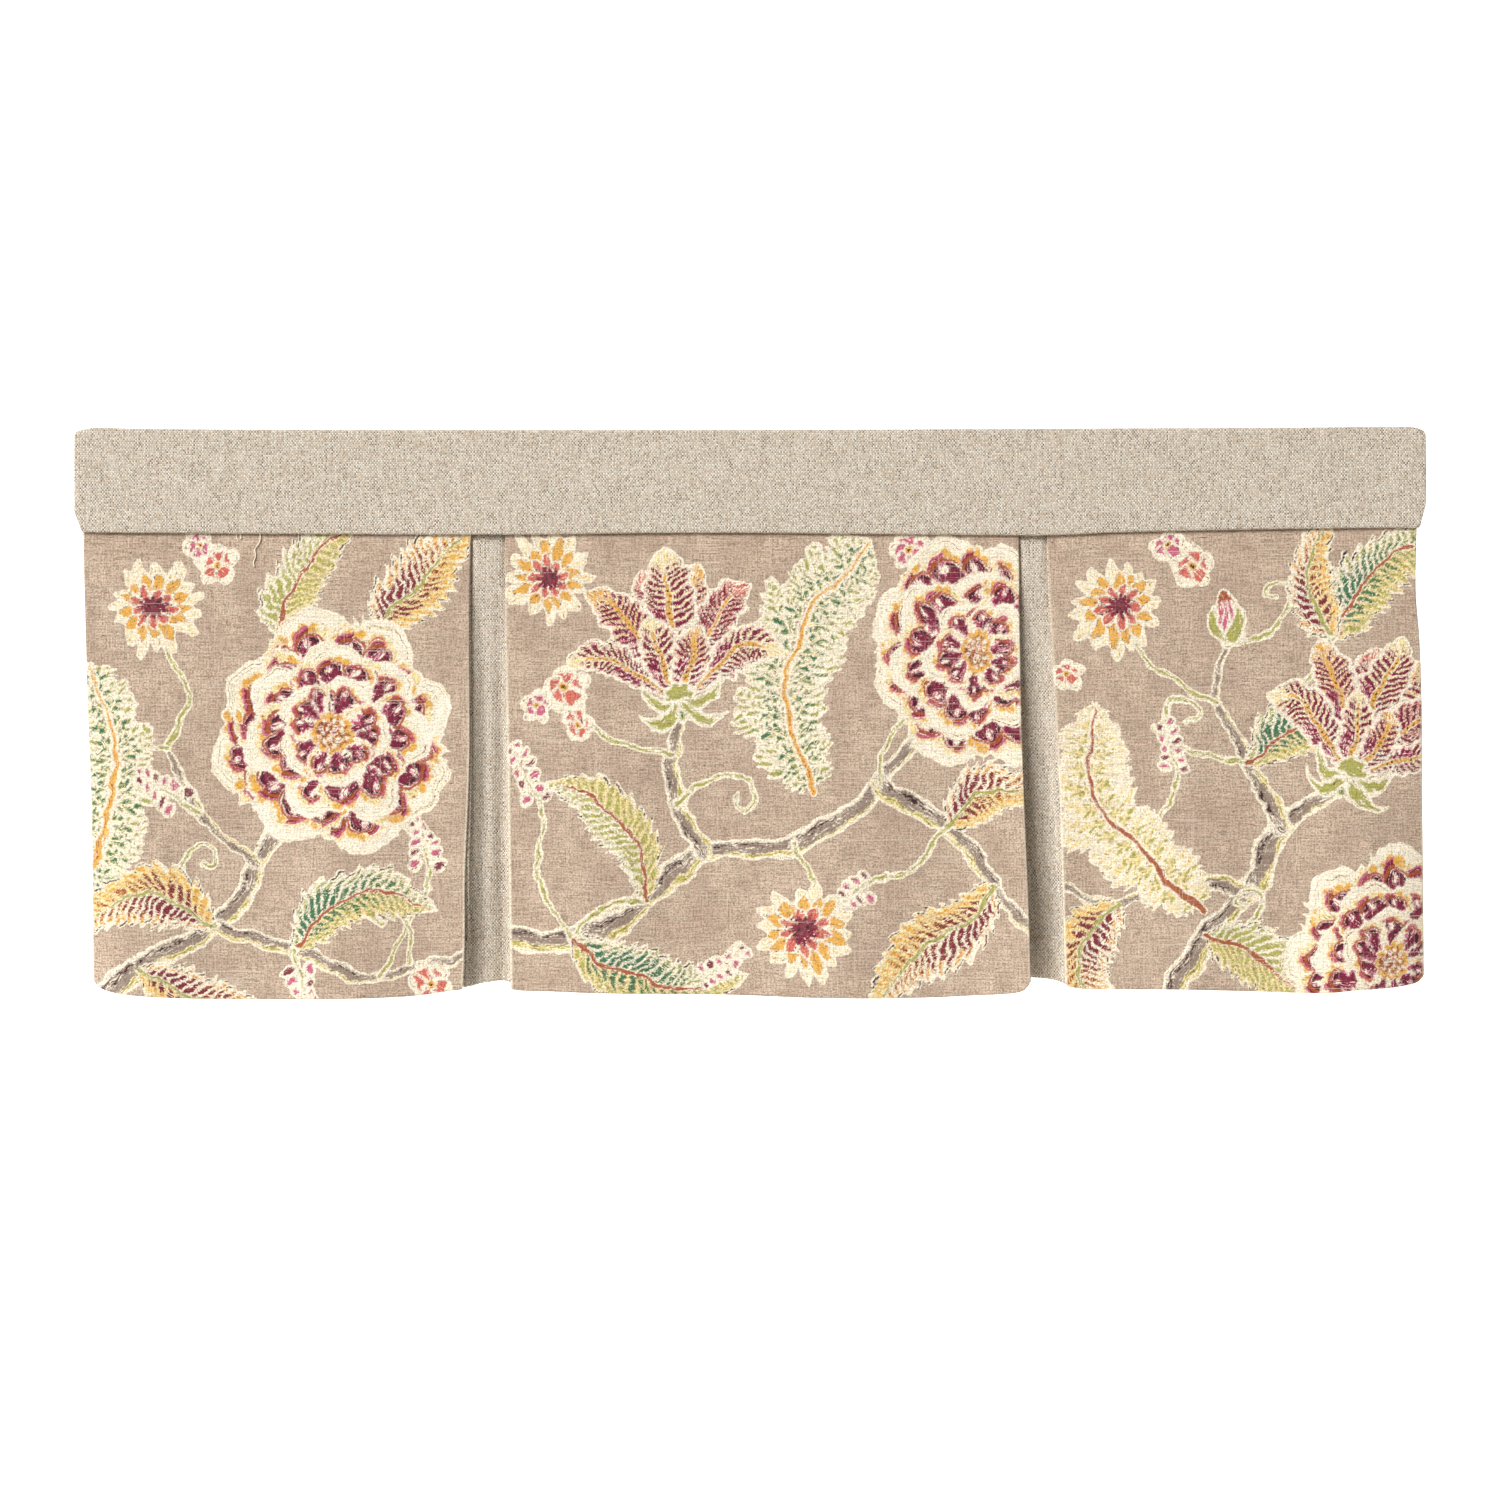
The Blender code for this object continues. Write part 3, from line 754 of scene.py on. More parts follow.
def hang(face, along, down, over_side, over_end):
    """Places on a cloth's right side, its edges turned over behind it. over_side and over_end
    are how far a place lies past the edge, measured along the cloth: minus is left and up."""
    width = np.linalg.norm(face(np.array([0.6]), np.array([0.5])) - face(np.array([0.4]), np.array([0.5])))
    width /= 0.2
    height = np.linalg.norm(face(np.array([0.5]), np.array([1.0])) - face(np.array([0.5]), np.array([0.0])))
    beyond = np.abs(over_side) + np.abs(over_end)
    radius = np.where(over_side != 0, SIDE_TURN_RADIUS, HEM_TURN_RADIUS)
    turn = np.minimum(beyond / radius, math.pi)
    outwards = radius * np.sin(turn)
    behind = radius * (1 - np.cos(turn))
    back_over = np.maximum(beyond - math.pi * radius, 0.0)
    inner_along = along - np.sign(over_side) * back_over / width
    inner_down = down - np.sign(over_end) * back_over / height
    places = face(inner_along, inner_down)
    inner_run = level_run(face, inner_along, inner_down)
    wrong_way = np.stack((-inner_run[:, 1], inner_run[:, 0], np.zeros(len(along))), axis=1)
    places += wrong_way * behind[:, None]
    places += level_run(face, along, down) * (np.sign(over_side) * outwards)[:, None]
    places[:, 2] -= np.sign(over_end) * outwards
    return places


def strip_stops(radius, depth):
    """How far past an edge the rows of its turned strip lie, along the cloth."""
    arc = math.pi * radius
    stops = [arc * i / TURN_STEPS for i in range(1, TURN_STEPS + 1)]
    rows = max(round(depth / STRIP_STEP), 2)
    return stops + [arc + depth * i / rows for i in range(1, rows + 1)]


def point_values(mesh, name, width=1):
    """A point attribute of a mesh as an array."""
    values = np.empty(len(mesh.vertices) * width, np.float32)
    mesh.attributes[name].data.foreach_get("value" if width == 1 else "vector", values)
    return values.astype(float) if width == 1 else values.reshape(-1, width).astype(float)


def set_point_values(mesh, name, values):
    """Writes an array as a point attribute of a mesh."""
    width = 1 if values.ndim == 1 else values.shape[1]
    kind = "FLOAT" if width == 1 else "FLOAT_VECTOR"
    layer = mesh.attributes.get(name) or mesh.attributes.new(name, kind, "POINT")
    field = "value" if width == 1 else "vector"
    layer.data.foreach_set(field, np.ascontiguousarray(values, np.float32).ravel())


CLOTH_LAYERS = ("along", "down", "over_side", "over_end", "right_side")


def add_cloth(name, face, columns, rows, side_turns, hem_turn, top_turn, thickness, face_cuts):
    """One cloth with its turned edges and its thickness: a grid over its face, its border
    extruded round and back, then Solidify, then the right side of its face cut finer."""
    shape = bmesh.new()
    bmesh.ops.create_grid(shape, x_segments=len(columns) - 1, y_segments=len(rows) - 1, size=1.0)
    along, down, over_side, over_end, right_side = (
        shape.verts.layers.float.new(layer) for layer in CLOTH_LAYERS
    )
    for vertex in shape.verts:
        vertex[along] = columns[round((vertex.co.x + 1) / 2 * (len(columns) - 1))]
        vertex[down] = rows[round((1 - vertex.co.y) / 2 * (len(rows) - 1))]
        vertex[right_side] = 1.0

    def turn_over(layer, edge_value, over, way, radius, depth):
        """Extrude one border of the face round and back over the wrong side."""
        border = [
            edge
            for edge in shape.edges
            if edge.is_boundary
            and all(abs(v[layer] - edge_value) < 1e-6 and v[over_end] == 0 for v in edge.verts)
        ]
        for stop in strip_stops(radius, depth):
            made = bmesh.ops.extrude_edge_only(shape, edges=border)["geom"]
            border = [part for part in made if isinstance(part, bmesh.types.BMEdge)]
            for part in made:
                if isinstance(part, bmesh.types.BMVert):
                    part[over] = way * stop

    turn_over(down, 1.0, over_end, 1, HEM_TURN_RADIUS, hem_turn)
    if top_turn:
        turn_over(down, 0.0, over_end, -1, HEM_TURN_RADIUS, top_turn)
    turn_over(along, 0.0, over_side, -1, SIDE_TURN_RADIUS, side_turns[0])
    turn_over(along, 1.0, over_side, 1, SIDE_TURN_RADIUS, side_turns[1])
    mesh = bpy.data.meshes.new(name)
    shape.to_mesh(mesh)
    shape.free()
    spots = [point_values(mesh, layer) for layer in CLOTH_LAYERS[:4]]
    mesh.vertices.foreach_set("co", hang(face, *spots).astype(np.float32).ravel())
    mesh.update()

    cloth = bpy.data.objects.new(name, mesh)
    bpy.context.scene.collection.objects.link(cloth)
    mesh.materials.append(None)
    mesh.materials.append(None)
    wall = cloth.modifiers.new("Cloth thickness", "SOLIDIFY")
    wall.thickness = thickness
    wall.offset = -1.0
    wall.material_offset = 1
    bpy.context.view_layer.update()
    thick = bpy.data.meshes.new_from_object(cloth.evaluated_get(bpy.context.evaluated_depsgraph_get()))
    cloth.modifiers.clear()
    right = np.zeros(len(thick.vertices))
    right[: len(mesh.vertices)] = 1.0
    set_point_values(thick, "right_side", right)
    cloth.data = thick
    bpy.data.meshes.remove(mesh)
    thick.name = name

    if face_cuts:
        shape = bmesh.new()
        shape.from_mesh(thick)
        layers = [shape.verts.layers.float[layer] for layer in CLOTH_LAYERS[2:]]
        over_side, over_end, right_side = layers
        fine = set()
        for flat in shape.faces:
            if all(v[right_side] > 0.5 and v[over_side] == 0 and v[over_end] == 0 for v in flat.verts):
                fine.update(flat.edges)
        bmesh.ops.subdivide_edges(shape, edges=list(fine), cuts=face_cuts, use_grid_fill=True)
        shape.to_mesh(thick)
        shape.free()
        spots = np.stack([point_values(thick, layer) for layer in CLOTH_LAYERS])
        front = (spots[4] > 0.99) & (spots[2] == 0) & (spots[3] == 0)
        places = np.empty(len(thick.vertices) * 3, np.float32)
        thick.vertices.foreach_get("co", places)
        places = places.reshape(-1, 3)
        places[front] = hang(face, *spots[:4][:, front])
        thick.vertices.foreach_set("co", places.ravel())
    thick.shade_smooth()
    thick.update()
    return cloth


def even_shares(length, step):
    """Shares from 0 to 1 about a step apart over a length."""
    return np.linspace(0.0, 1.0, round(length / step) + 1)


class Print:
    """The print on one cloth: how thickly each ink lies at each of its points, from 0 to 1, and
    the way its brush strokes run. Places are millimetres, x to the right and y up from the
    valance's top edge."""

    def __init__(self, x, y):
        bend_x, bend_y = hand_wander(x, y)
        self.x = x + bend_x
        self.y = y + bend_y
        self.inks = {ink: np.zeros(len(x)) for ink in INKS}
        self.strokes = np.stack((x, y, np.zeros(len(x))), axis=1)
        self.shapes = 0

    def near(self, low, high):
        """Which points lie in a box."""
        inside = (self.x > low[0]) & (self.x < high[0]) & (self.y > low[1]) & (self.y < high[1])
        return np.flatnonzero(inside)

    def lay(self, shape, inset=0.0, where=1.0, **inks):
        """Prints a shape over what is there. An ink that isn't named is wiped from under it."""
        cover = covered(shape.edge - inset) * where
        for ink, layer in self.inks.items():
            layer[shape.spots] += (inks.get(ink, 0.0) - layer[shape.spots]) * cover
        self.comb(shape, cover)

    def tint(self, shape, inset=0.0, where=1.0, **inks):
        """Adds inks to what is there."""
        cover = covered(shape.edge - inset) * where
        for ink, density in inks.items():
            layer = self.inks[ink]
            layer[shape.spots] = np.maximum(layer[shape.spots], density * cover)
        self.comb(shape, cover)

    def comb(self, shape, cover):
        """Turns the brush strokes along a shape."""
        self.shapes += 1
        seed = np.full(len(shape.spots), 7.3 * self.shapes)
        run = np.stack((shape.share * shape.length, shape.side, seed), axis=1)
        inked = cover > 0.3
        self.strokes[shape.spots[inked]] = run[inked]


def hand_wander(x, y):
    """How far a drawing hand strays from its line at each place, in millimetres."""
    bend_x, bend_y = np.zeros(len(x)), np.zeros(len(x))
    for pitch, reach, turn in HAND_WANDER:
        along = 2 * math.pi * (x * math.cos(turn) + y * math.sin(turn)) / pitch
        across = 2 * math.pi * (y * math.cos(turn) - x * math.sin(turn)) / pitch
        bend_x += reach * np.sin(along + 2.0 * np.sin(across * 0.37))
        bend_y += reach * np.sin(across + 2.0 * np.sin(along * 0.41))
    return bend_x, bend_y


class Shape:
    """Part of a print: its points, how far inside its outline each lies, its share along the
    shape and its distance to the side of the middle."""

    def __init__(self, spots, edge, share, side, length):
        self.spots = spots
        self.edge = edge
        self.share = share
        self.side = side
        self.length = length


def covered(inside):
    """How thickly ink lies so far inside an outline, thinning out across it."""
    return np.clip(0.5 + inside / INK_EDGE, 0.0, 1.0)


def smooth_line(points, steps=9):
    """A smooth curve through a few points."""
    points = np.array(points, float)
    if len(points) == 2:
        return mix(points[:1], points[1:], np.linspace(0, 1, 3)[:, None])
    at = np.concatenate(((0,), np.cumsum(np.hypot(*np.diff(points, axis=0).T))))
    places = np.unique(np.concatenate([np.linspace(a, b, steps) for a, b in zip(at, at[1:])]))
    table = np.column_stack((at, points))
    return np.stack((read_table(table, places, 1), read_table(table, places, 2)), axis=1)


def saw(phase):
    """Teeth that rise slowly and drop fast, between -1 and 1."""
    return 2 * (phase % 1.0) - 1


def scallop(phase):
    """Round lobes with sharp notches between, between -1 and 1."""
    return 2 * np.abs(np.sin(math.pi * phase)) - 1


def swell(share, peak, point):
    """A petal's width along it, widest at the peak. A higher point draws its ends out finer."""
    share = np.clip(share, 1e-4, 1 - 1e-4)
    rise = (share / peak) ** peak * ((1 - share) / (1 - peak)) ** (1 - peak)
    return rise ** (1.8 * point)


def blade(cloth_print, points, half_width, peak=0.5, point=1.0, teeth=0, depth=0.0, lobes=saw):
    """A petal, leaf or stroke along a curve. half_width is its widest, or a row of widths."""
    widest = np.max(half_width) * (1 + depth)
    line = smooth_line(points)
    reach = widest + INK_EDGE
    spots = cloth_print.near(line.min(axis=0) - reach, line.max(axis=0) + reach)
    off_x = cloth_print.x[spots, None] - line[:-1, 0]
    off_y = cloth_print.y[spots, None] - line[:-1, 1]
    run_x, run_y = np.diff(line, axis=0).T
    steps = np.hypot(run_x, run_y)
    share = np.clip((off_x * run_x + off_y * run_y) / steps**2, 0.0, 1.0)
    away = np.hypot(off_x - share * run_x, off_y - share * run_y)
    nearest = np.argmin(away, axis=1)
    rows = np.arange(len(spots))
    before = np.concatenate(((0.0,), np.cumsum(steps)))
    length = before[-1]
    share = (before[nearest] + share[rows, nearest] * steps[nearest]) / length
    away = away[rows, nearest]
    left = run_x[nearest] * off_y[rows, nearest] - run_y[nearest] * off_x[rows, nearest]
    if np.ndim(half_width):
        half = np.interp(share, np.linspace(0, 1, len(half_width)), half_width)
    else:
        half = half_width * swell(share, peak, point)
    if teeth:
        half = half * (1 + depth * lobes(share * teeth + (left > 0) * 0.4))
    return Shape(spots, half - away, share, np.where(left > 0, away, -away), length)


def disc(cloth_print, middle, radius, stretch=1.0, turn=0.0, teeth=0, depth=0.0, lobes=saw):
    """A round or oval shape, longer along its turn, with its edge in teeth or lobes."""
    middle = np.asarray(middle, float)
    reach = radius * max(stretch, 1.0) * (1 + depth) + INK_EDGE
    spots = cloth_print.near(middle - reach, middle + reach)
    off_x, off_y = cloth_print.x[spots] - middle[0], cloth_print.y[spots] - middle[1]
    along = off_x * math.cos(turn) + off_y * math.sin(turn)
    side = off_y * math.cos(turn) - off_x * math.sin(turn)
    away = np.hypot(along / stretch, side)
    angle = np.arctan2(side, along / stretch)
    edge = radius * (1 + depth * lobes(angle / (2 * math.pi) * teeth)) if teeth else radius
    length = 2 * radius * stretch
    return Shape(spots, edge - away, along / length + 0.5, side, length)


def bands(phase, fill, pitch):
    """Stripes: how thickly each point is inked when so much of each turn of a phase is filled
    and one turn is so many millimetres wide."""
    return np.clip(0.5 + (fill / 2 - np.abs(phase % 1.0 - 0.5)) * pitch / INK_EDGE, 0.0, 1.0)


def placed(points, place, turn, size):
    """Points of a motif, turned, sized and moved to its place in the print."""
    points = np.array(points, float) * size
    across, up = points[:, 0], points[:, 1]
    x = place[0] + across * math.cos(turn) - up * math.sin(turn)
    y = place[1] + across * math.sin(turn) + up * math.cos(turn)
    return np.stack((x, y), axis=1)


def toward(place, angle, reach):
    """The point so far from a place in a direction."""
    return (place[0] + reach * math.cos(angle), place[1] + reach * math.sin(angle))


def near_edge(shape, inset, spread):
    """1 on a line so far inside a shape's edge, fading to 0 on both sides of it."""
    return np.clip(1 - np.abs(shape.edge - inset) / spread, 0, 1)


def draw_spikes(cloth_print, place, angle, reach, spread, rng):
    """Pointed cream teeth that stand out round the tip of a broad petal, some ochre inside."""
    for i in range(FRILL_SPIKES):
        share = (i + 0.5) / FRILL_SPIKES - 0.5
        way = angle + share * spread
        point = toward(place, way + 0.05, reach * mix(1.0, 0.93, (2 * share) ** 2) + rng.uniform(6, 14))
        spike = blade(cloth_print, (toward(place, way, 0.72 * reach), point), (5.2, 5.0, 3.4, 0.3))
        cloth_print.lay(spike, cream=1.0)
        cloth_print.tint(spike, 1.5, (spike.share > 0.5), butter=0.9 * (i % 3 < 2), ochre=0.8 * (i % 2))


def draw_frilled_petal(cloth_print, place, angle, reach, width, rng):
    """A broad petal of the round flower: a cream body, three frilled lobes at its tip blotched
    with ochre, and in each lobe a wine spoon that runs up from the root under dark arcs."""
    root = toward(place, angle, 0.15 * reach)
    tip = toward(place, angle, reach - 0.45 * width)
    body = blade(cloth_print, (root, tip), (0.25 * width, 0.6 * width, 0.9 * width, 0.75 * width))
    cloth_print.lay(body, cream=1.0)
    lobes = []
    for spread in (-0.64, 0.64, 0.0):
        turn = angle + spread * width / reach * 1.2 + rng.uniform(-0.04, 0.04)
        radius = width * rng.uniform(0.44, 0.56)
        middle = toward(place, turn, reach - radius - 0.10 * width * abs(spread))
        lobes.append((middle, radius, turn))
        frill = disc(cloth_print, middle, radius, 1.08, turn, int(rng.integers(9, 13)), 0.07, scallop)
        cloth_print.lay(frill, cream=1.0)
        around = np.arctan2(frill.side, (frill.share - 0.5) * frill.length)
        blotch = ease(np.sin(around * 2.5 + rng.uniform(0, 6)), -0.8, 0.2)
        cloth_print.tint(frill, 1.6, butter=0.72)
        cloth_print.tint(frill, 2.8, blotch, ochre=0.88)
    for middle, radius, turn in lobes:
        inner = disc(cloth_print, toward(middle, turn, -0.12 * radius), radius * 0.70, 1.15, turn)
        cloth_print.lay(inner, cream=1.0)
        for inset, ink, low in ((0.0, "rust", 0.40), (3.4, "line", 0.52)):
            arc = disc(cloth_print, toward(middle, turn, -0.08 * radius), radius * 0.66 - inset, 1.1, turn)
            ring = np.clip(1.3 - np.abs(arc.edge) / 1.5, 0, 1) * (arc.share > rng.uniform(low, low + 0.16))
            cloth_print.tint(arc, -4.0, ring, **{ink: 0.90})
        head = toward(middle, turn, 0.14 * radius)
        start = toward(place, mix(turn, angle, 0.4), 0.30 * reach)
        widths = (0.16 * radius, 0.24 * radius, 0.40 * radius, 0.60 * radius)
        spoon = blade(cloth_print, (start, head), widths, teeth=4, depth=0.22, lobes=scallop)
        cloth_print.tint(spoon, -0.8, rose=0.84)
        deep = mix(1.0, 0.62, np.abs(np.sin(spoon.share * 5 + turn * 3)) * (spoon.side > 0))
        cloth_print.tint(spoon, 1.2, deep, wine=1.0)
        glint = disc(cloth_print, toward(head, turn + 0.5, 0.16 * radius), 0.15 * radius, 1.5, turn)
        cloth_print.lay(glint, cream=0.9, rose=0.35)
    for spread in (-0.40, -0.2, 0.22, 0.42):
        turn = angle + spread * width / reach
        low = rng.uniform(0.36, 0.5)
        vein = (toward(place, turn, low * reach), toward(place, turn + spread * 0.1, (low + 0.36) * reach))
        dash = blade(cloth_print, vein, (0.6, 1.4, 1.2, 0.5))
        cloth_print.tint(dash, 0.0, np.sin(dash.share * 26) > -0.1, line=0.84)


def draw_round_flower(cloth_print, place, turn, size, rng):
    """A full round flower seen from the front: rings of frilled petals about a seeded heart."""
    for ring, (count, reach, width) in enumerate(ROUND_FLOWER_RINGS):
        petals = []
        for i in (*range(0, count, 2), *range(1, count, 2)):
            angle = turn + ring * 0.45 + 2 * math.pi * i / count + rng.uniform(-0.08, 0.08)
            petals.append((angle, reach * size * rng.uniform(0.92, 1.06)))
        if ring == 0:
            for angle, length in petals:
                draw_spikes(cloth_print, place, angle, length, 2 * math.pi / count, rng)
        for angle, length in petals:
            draw_frilled_petal(cloth_print, place, angle, length, width * size, rng)
    heart = disc(cloth_print, place, 16 * size, 1.15, turn, 12, 0.10, scallop)
    cloth_print.lay(heart, cream=1.0, ochre=0.85)
    cloth_print.tint(heart, 4 * size, rust=0.70)
    cloth_print.tint(disc(cloth_print, toward(place, turn + 2.5, 6 * size), 8 * size), wine=0.85)
    for i in range(17):
        reach = 13 * size * math.sqrt((i + 0.4) / 17)
        seed = disc(cloth_print, toward(place, i * 2.4, reach), 1.7 * size)
        cloth_print.lay(seed, 0.0, 1.0, cream=1.0, rose=0.25 + 0.5 * (i % 3 == 0))
        cloth_print.tint(disc(cloth_print, toward(place, i * 2.4 + 0.4, reach * 1.12), 0.9), line=0.9)


def draw_feathered_flower(cloth_print, place, turn, size):
    """A tall open flower seen from the side: petals feathered in wine either side of a dotted
    ochre rib, rising from an olive cup with curled sepals."""
    for points, half_width, tip_ink in FEATHERED_PETALS:
        points = placed(points, place, turn, size)
        petal = blade(cloth_print, points, half_width * size, 0.62, 0.85, 8, 0.10, scallop)
        cloth_print.lay(petal, -1.0, cream=1.0)
        cloth_print.tint(petal, 2.2, petal.share > 0.5, **{tip_ink: 0.58})
        slant = petal.share * petal.length / 6.4 - np.abs(petal.side) / 9.0
        comb = bands(slant, 0.60, 6.4) * (np.abs(petal.side) > 2.2 * size)
        comb *= ease(petal.share, 0.05, 0.15) * (1 - ease(petal.share, 0.82, 0.98))
        cloth_print.tint(petal, 1.6, comb, rose=0.86)
        cloth_print.tint(petal, 3.2, comb, wine=0.98)
        cloth_print.tint(petal, 3.8, (petal.side > 0) * (petal.share < 0.6), rose=0.66)
        rib = blade(cloth_print, points, (2.6, 2.4, 2.0, 1.2))
        cloth_print.lay(rib, where=rib.share < 0.86, cream=1.0, ochre=0.95)
        dots = bands(rib.share * rib.length / 5.5, 0.36, 5.5) * (rib.share < 0.8)
        cloth_print.tint(rib, 0.2, dots, line=0.95)
        edge = near_edge(petal, 2.2, 1.4) * (petal.side < 0)
        cloth_print.tint(petal, 0.0, edge * (np.sin(petal.share * 37) > -0.3), line=0.72)
    cup = disc(cloth_print, placed([(0, 6)], place, turn, size)[0], 17 * size, 0.8, turn, 9, 0.1, scallop)
    cloth_print.lay(cup, -1.5, cream=1.0)
    cloth_print.tint(cup, 1.5, olive=0.9)
    cloth_print.tint(cup, 4.0, (cup.side < 0), green=0.8)
    for points in FEATHERED_SEPALS:
        sepal = blade(cloth_print, placed(points, place, turn, size), 5.2 * size, 0.35, 1.1)
        cloth_print.lay(sepal, -1.2, cream=1.0)
        cloth_print.tint(sepal, 1.4, olive=0.86)


def draw_star_flower(cloth_print, place, turn, size, rng):
    """A flat flower of pointed petals, cream outside and ochre inside, each with dark edges,
    round a wine eye with dark rays."""
    rings = ((15, 45, 6.5, "butter", 0.44), (13, 35, 6.4, "ochre", 0.95), (9, 23, 5.2, "coral", 0.85))
    for count, reach, half_width, ink, density in rings:
        for i in range(count):
            angle = turn + 2 * math.pi * i / count + rng.uniform(-0.07, 0.07)
            tip = toward(place, angle, reach * size * rng.uniform(0.90, 1.10))
            petal = blade(cloth_print, (place, tip), half_width * size, 0.62, 1.0)
            cloth_print.lay(petal, -0.8, cream=1.0)
            cloth_print.tint(petal, 0.9, **{ink: density})
            edge = near_edge(petal, 0.7, 1.3) * (petal.share > 0.3)
            cloth_print.tint(petal, 0, edge * (reach < 40) * (np.sin(petal.share * 21 + i) > -0.5), line=0.86)
            cloth_print.tint(petal, 0, edge * (reach > 40) * (petal.side < 0), ochre=0.76)
            ray = blade(cloth_print, (place, toward(place, angle, 0.7 * reach * size)), (1.0, 0.8, 0.5))
            cloth_print.tint(ray, 0, (ray.share > 0.4) * (reach < 40), wine=0.85)
        turn += 0.21
    eye = disc(cloth_print, place, 10.5 * size, 1, 0, 11, 0.3, scallop)
    cloth_print.tint(eye, wine=0.98)
    for i in range(14):
        speck = disc(cloth_print, toward(place, turn + i * 0.7, (4 + i % 4 * 4) * size), 1.3)
        cloth_print.tint(speck, line=0.95)


def draw_leaf(cloth_print, points, half_width, kind):
    """A toothed leaf, dark beside its rib and pale at its edge, with a comb of veins."""
    dark, light, rib_ink = LEAF_INKS[kind]
    leaf = blade(cloth_print, points, half_width, 0.42, 0.80, 12, 0.15)
    cloth_print.lay(leaf, -1.5, cream=1.0)
    slant = leaf.share * leaf.length / 8.0 - np.abs(leaf.side) / 11.0
    slant = slant + 0.16 * np.sin(leaf.share * 19 + leaf.side * 0.35)
    veins = bands(slant, 0.70, 8.0)
    inwards = np.clip(leaf.edge / half_width, 0, 1)
    cloth_print.tint(leaf, 1.2, (leaf.side < 0), butter=0.78)
    cloth_print.tint(leaf, 2.0, veins * mix(0.72, 1.0, inwards), **{light: 0.86})
    deep = veins * ease(inwards, 0.05, 0.45) * mix(1.0, 0.50, ease(leaf.share, 0.2, 0.8))
    cloth_print.tint(leaf, 2.4, deep * (leaf.side > 1.0), **{dark: 0.96})
    cloth_print.tint(leaf, 3.0, deep * (leaf.side < -1.0) * (inwards > 0.4), **{dark: 0.80})
    rib = blade(cloth_print, points, (2.3, 1.9, 1.5, 0.8))
    cloth_print.lay(rib, where=rib.share < 0.9, cream=1.0, **{rib_ink: 0.92})
    edge = np.clip(1.1 - np.abs(leaf.edge - 0.6) / 1.3, 0, 1)
    cloth_print.tint(leaf, -2.0, edge * (np.sin(leaf.share * 31) > -0.2), line=0.92)
    speck = bands(leaf.share * leaf.length / 11.0, 0.2, 11.0) * bands(leaf.side / 7.0, 0.3, 7.0)
    cloth_print.tint(leaf, 2.5, speck * (leaf.side < 0), rust=0.86)


def draw_plume(cloth_print, points, reach, kind):
    """A plume: broad toothed leaflets overlapping either side of a rib, dark in their middles
    and cream at their tips."""
    dark, light, rib_ink = LEAF_INKS[kind]
    line = smooth_line(points, 16)
    runs = np.gradient(line, axis=0)
    along = np.concatenate(((0.0,), np.cumsum(np.hypot(*np.diff(line, axis=0).T))))
    count = int(along[-1] / 16)
    for i in range(count + 1):
        share = (i + 0.7) / (count + 0.9)
        place = [np.interp(share * along[-1], along, line[:, axis]) for axis in (0, 1)]
        run = [np.interp(share * along[-1], along, runs[:, axis]) for axis in (0, 1)]
        angle = math.atan2(run[1], run[0])
        length = reach * swell(share, 0.40, 0.65) * (1 + 0.20 * math.sin(i * 2.3))
        for way in (-1, 1):
            middle = toward(place, angle + way * 1.0, 0.55 * length)
            tip = toward(middle, angle + way * 0.55, 0.55 * length)
            leaflet = blade(cloth_print, (place, middle, tip), 10.5, 0.55, 0.70, 6, 0.36)
            cloth_print.lay(leaflet, -1.0, cream=1.0)
            comb = bands(leaflet.share * leaflet.length / 8.4 - np.abs(leaflet.side) / 9.0, 0.60, 8.4)
            solid = np.maximum(comb * (leaflet.share < 0.93), 1 - ease(leaflet.share, 0.20, 0.55))
            cloth_print.tint(leaflet, 2.0, solid, **{light: 0.90})
            near_rib = 1 - ease(leaflet.share, 0.34, 0.66)
            combed = mix(1.0, comb, ease(leaflet.share, 0.1, 0.4))
            cloth_print.tint(leaflet, 3.4, near_rib * combed, **{dark: 0.95})
            fringe = near_edge(leaflet, 0.8, 1.2) * (leaflet.share > 0.55)
            cloth_print.tint(leaflet, 0, fringe * (np.sin(leaflet.share * 40) > 0), rust=0.80)
            vein = blade(cloth_print, (place, middle, tip), (1.5, 1.1, 0.6))
            cloth_print.lay(vein, where=vein.share < 0.8, cream=1.0, butter=0.7)
    rib = blade(cloth_print, points, (3.2, 2.6, 2.0, 1.2))
    cloth_print.lay(rib, -1.0, cream=1.0)
    cloth_print.tint(rib, 0.2, **{rib_ink: 0.95})
    cloth_print.tint(rib, 1.2, (rib.side > 0), rust=0.72)


def draw_branch(cloth_print, points, start, end):
    """A woody stem: cream edges, streaky taupe bark, and a darker underside."""
    widths = (start, mix(start, end, 0.3), mix(start, end, 0.6), end)
    branch = blade(cloth_print, points, widths, teeth=6, depth=0.14, lobes=scallop)
    cloth_print.lay(branch, cream=1.0)
    knots = mix(0.66, 0.96, np.abs(np.sin(branch.share * branch.length / 17)))
    cloth_print.tint(branch, 0.28 * start, (branch.side > -0.35 * start) * knots, bark=1.0)
    cloth_print.tint(branch, 0.34 * start, (branch.side > 0.2 * start) * knots, line=0.54)
    cloth_print.tint(branch, 0.20 * start, (branch.side < -0.3 * start), butter=0.8, olive=0.50)


def draw_stem(cloth_print, points, half_width):
    """A thin green stem or tendril with a cream edge."""
    stem = blade(cloth_print, points, (half_width * 1.2, half_width, half_width * 0.8))
    cloth_print.lay(stem, -1.5, cream=1.0)
    cloth_print.tint(stem, 0.35, olive=0.86)


def draw_curl(cloth_print, place, turn, reach, way):
    """A tendril that runs out and rolls up."""
    points = placed([(x, y * way) for x, y in CURL_POINTS], place, turn, reach)
    draw_stem(cloth_print, points, CURL_HALF_WIDTH)


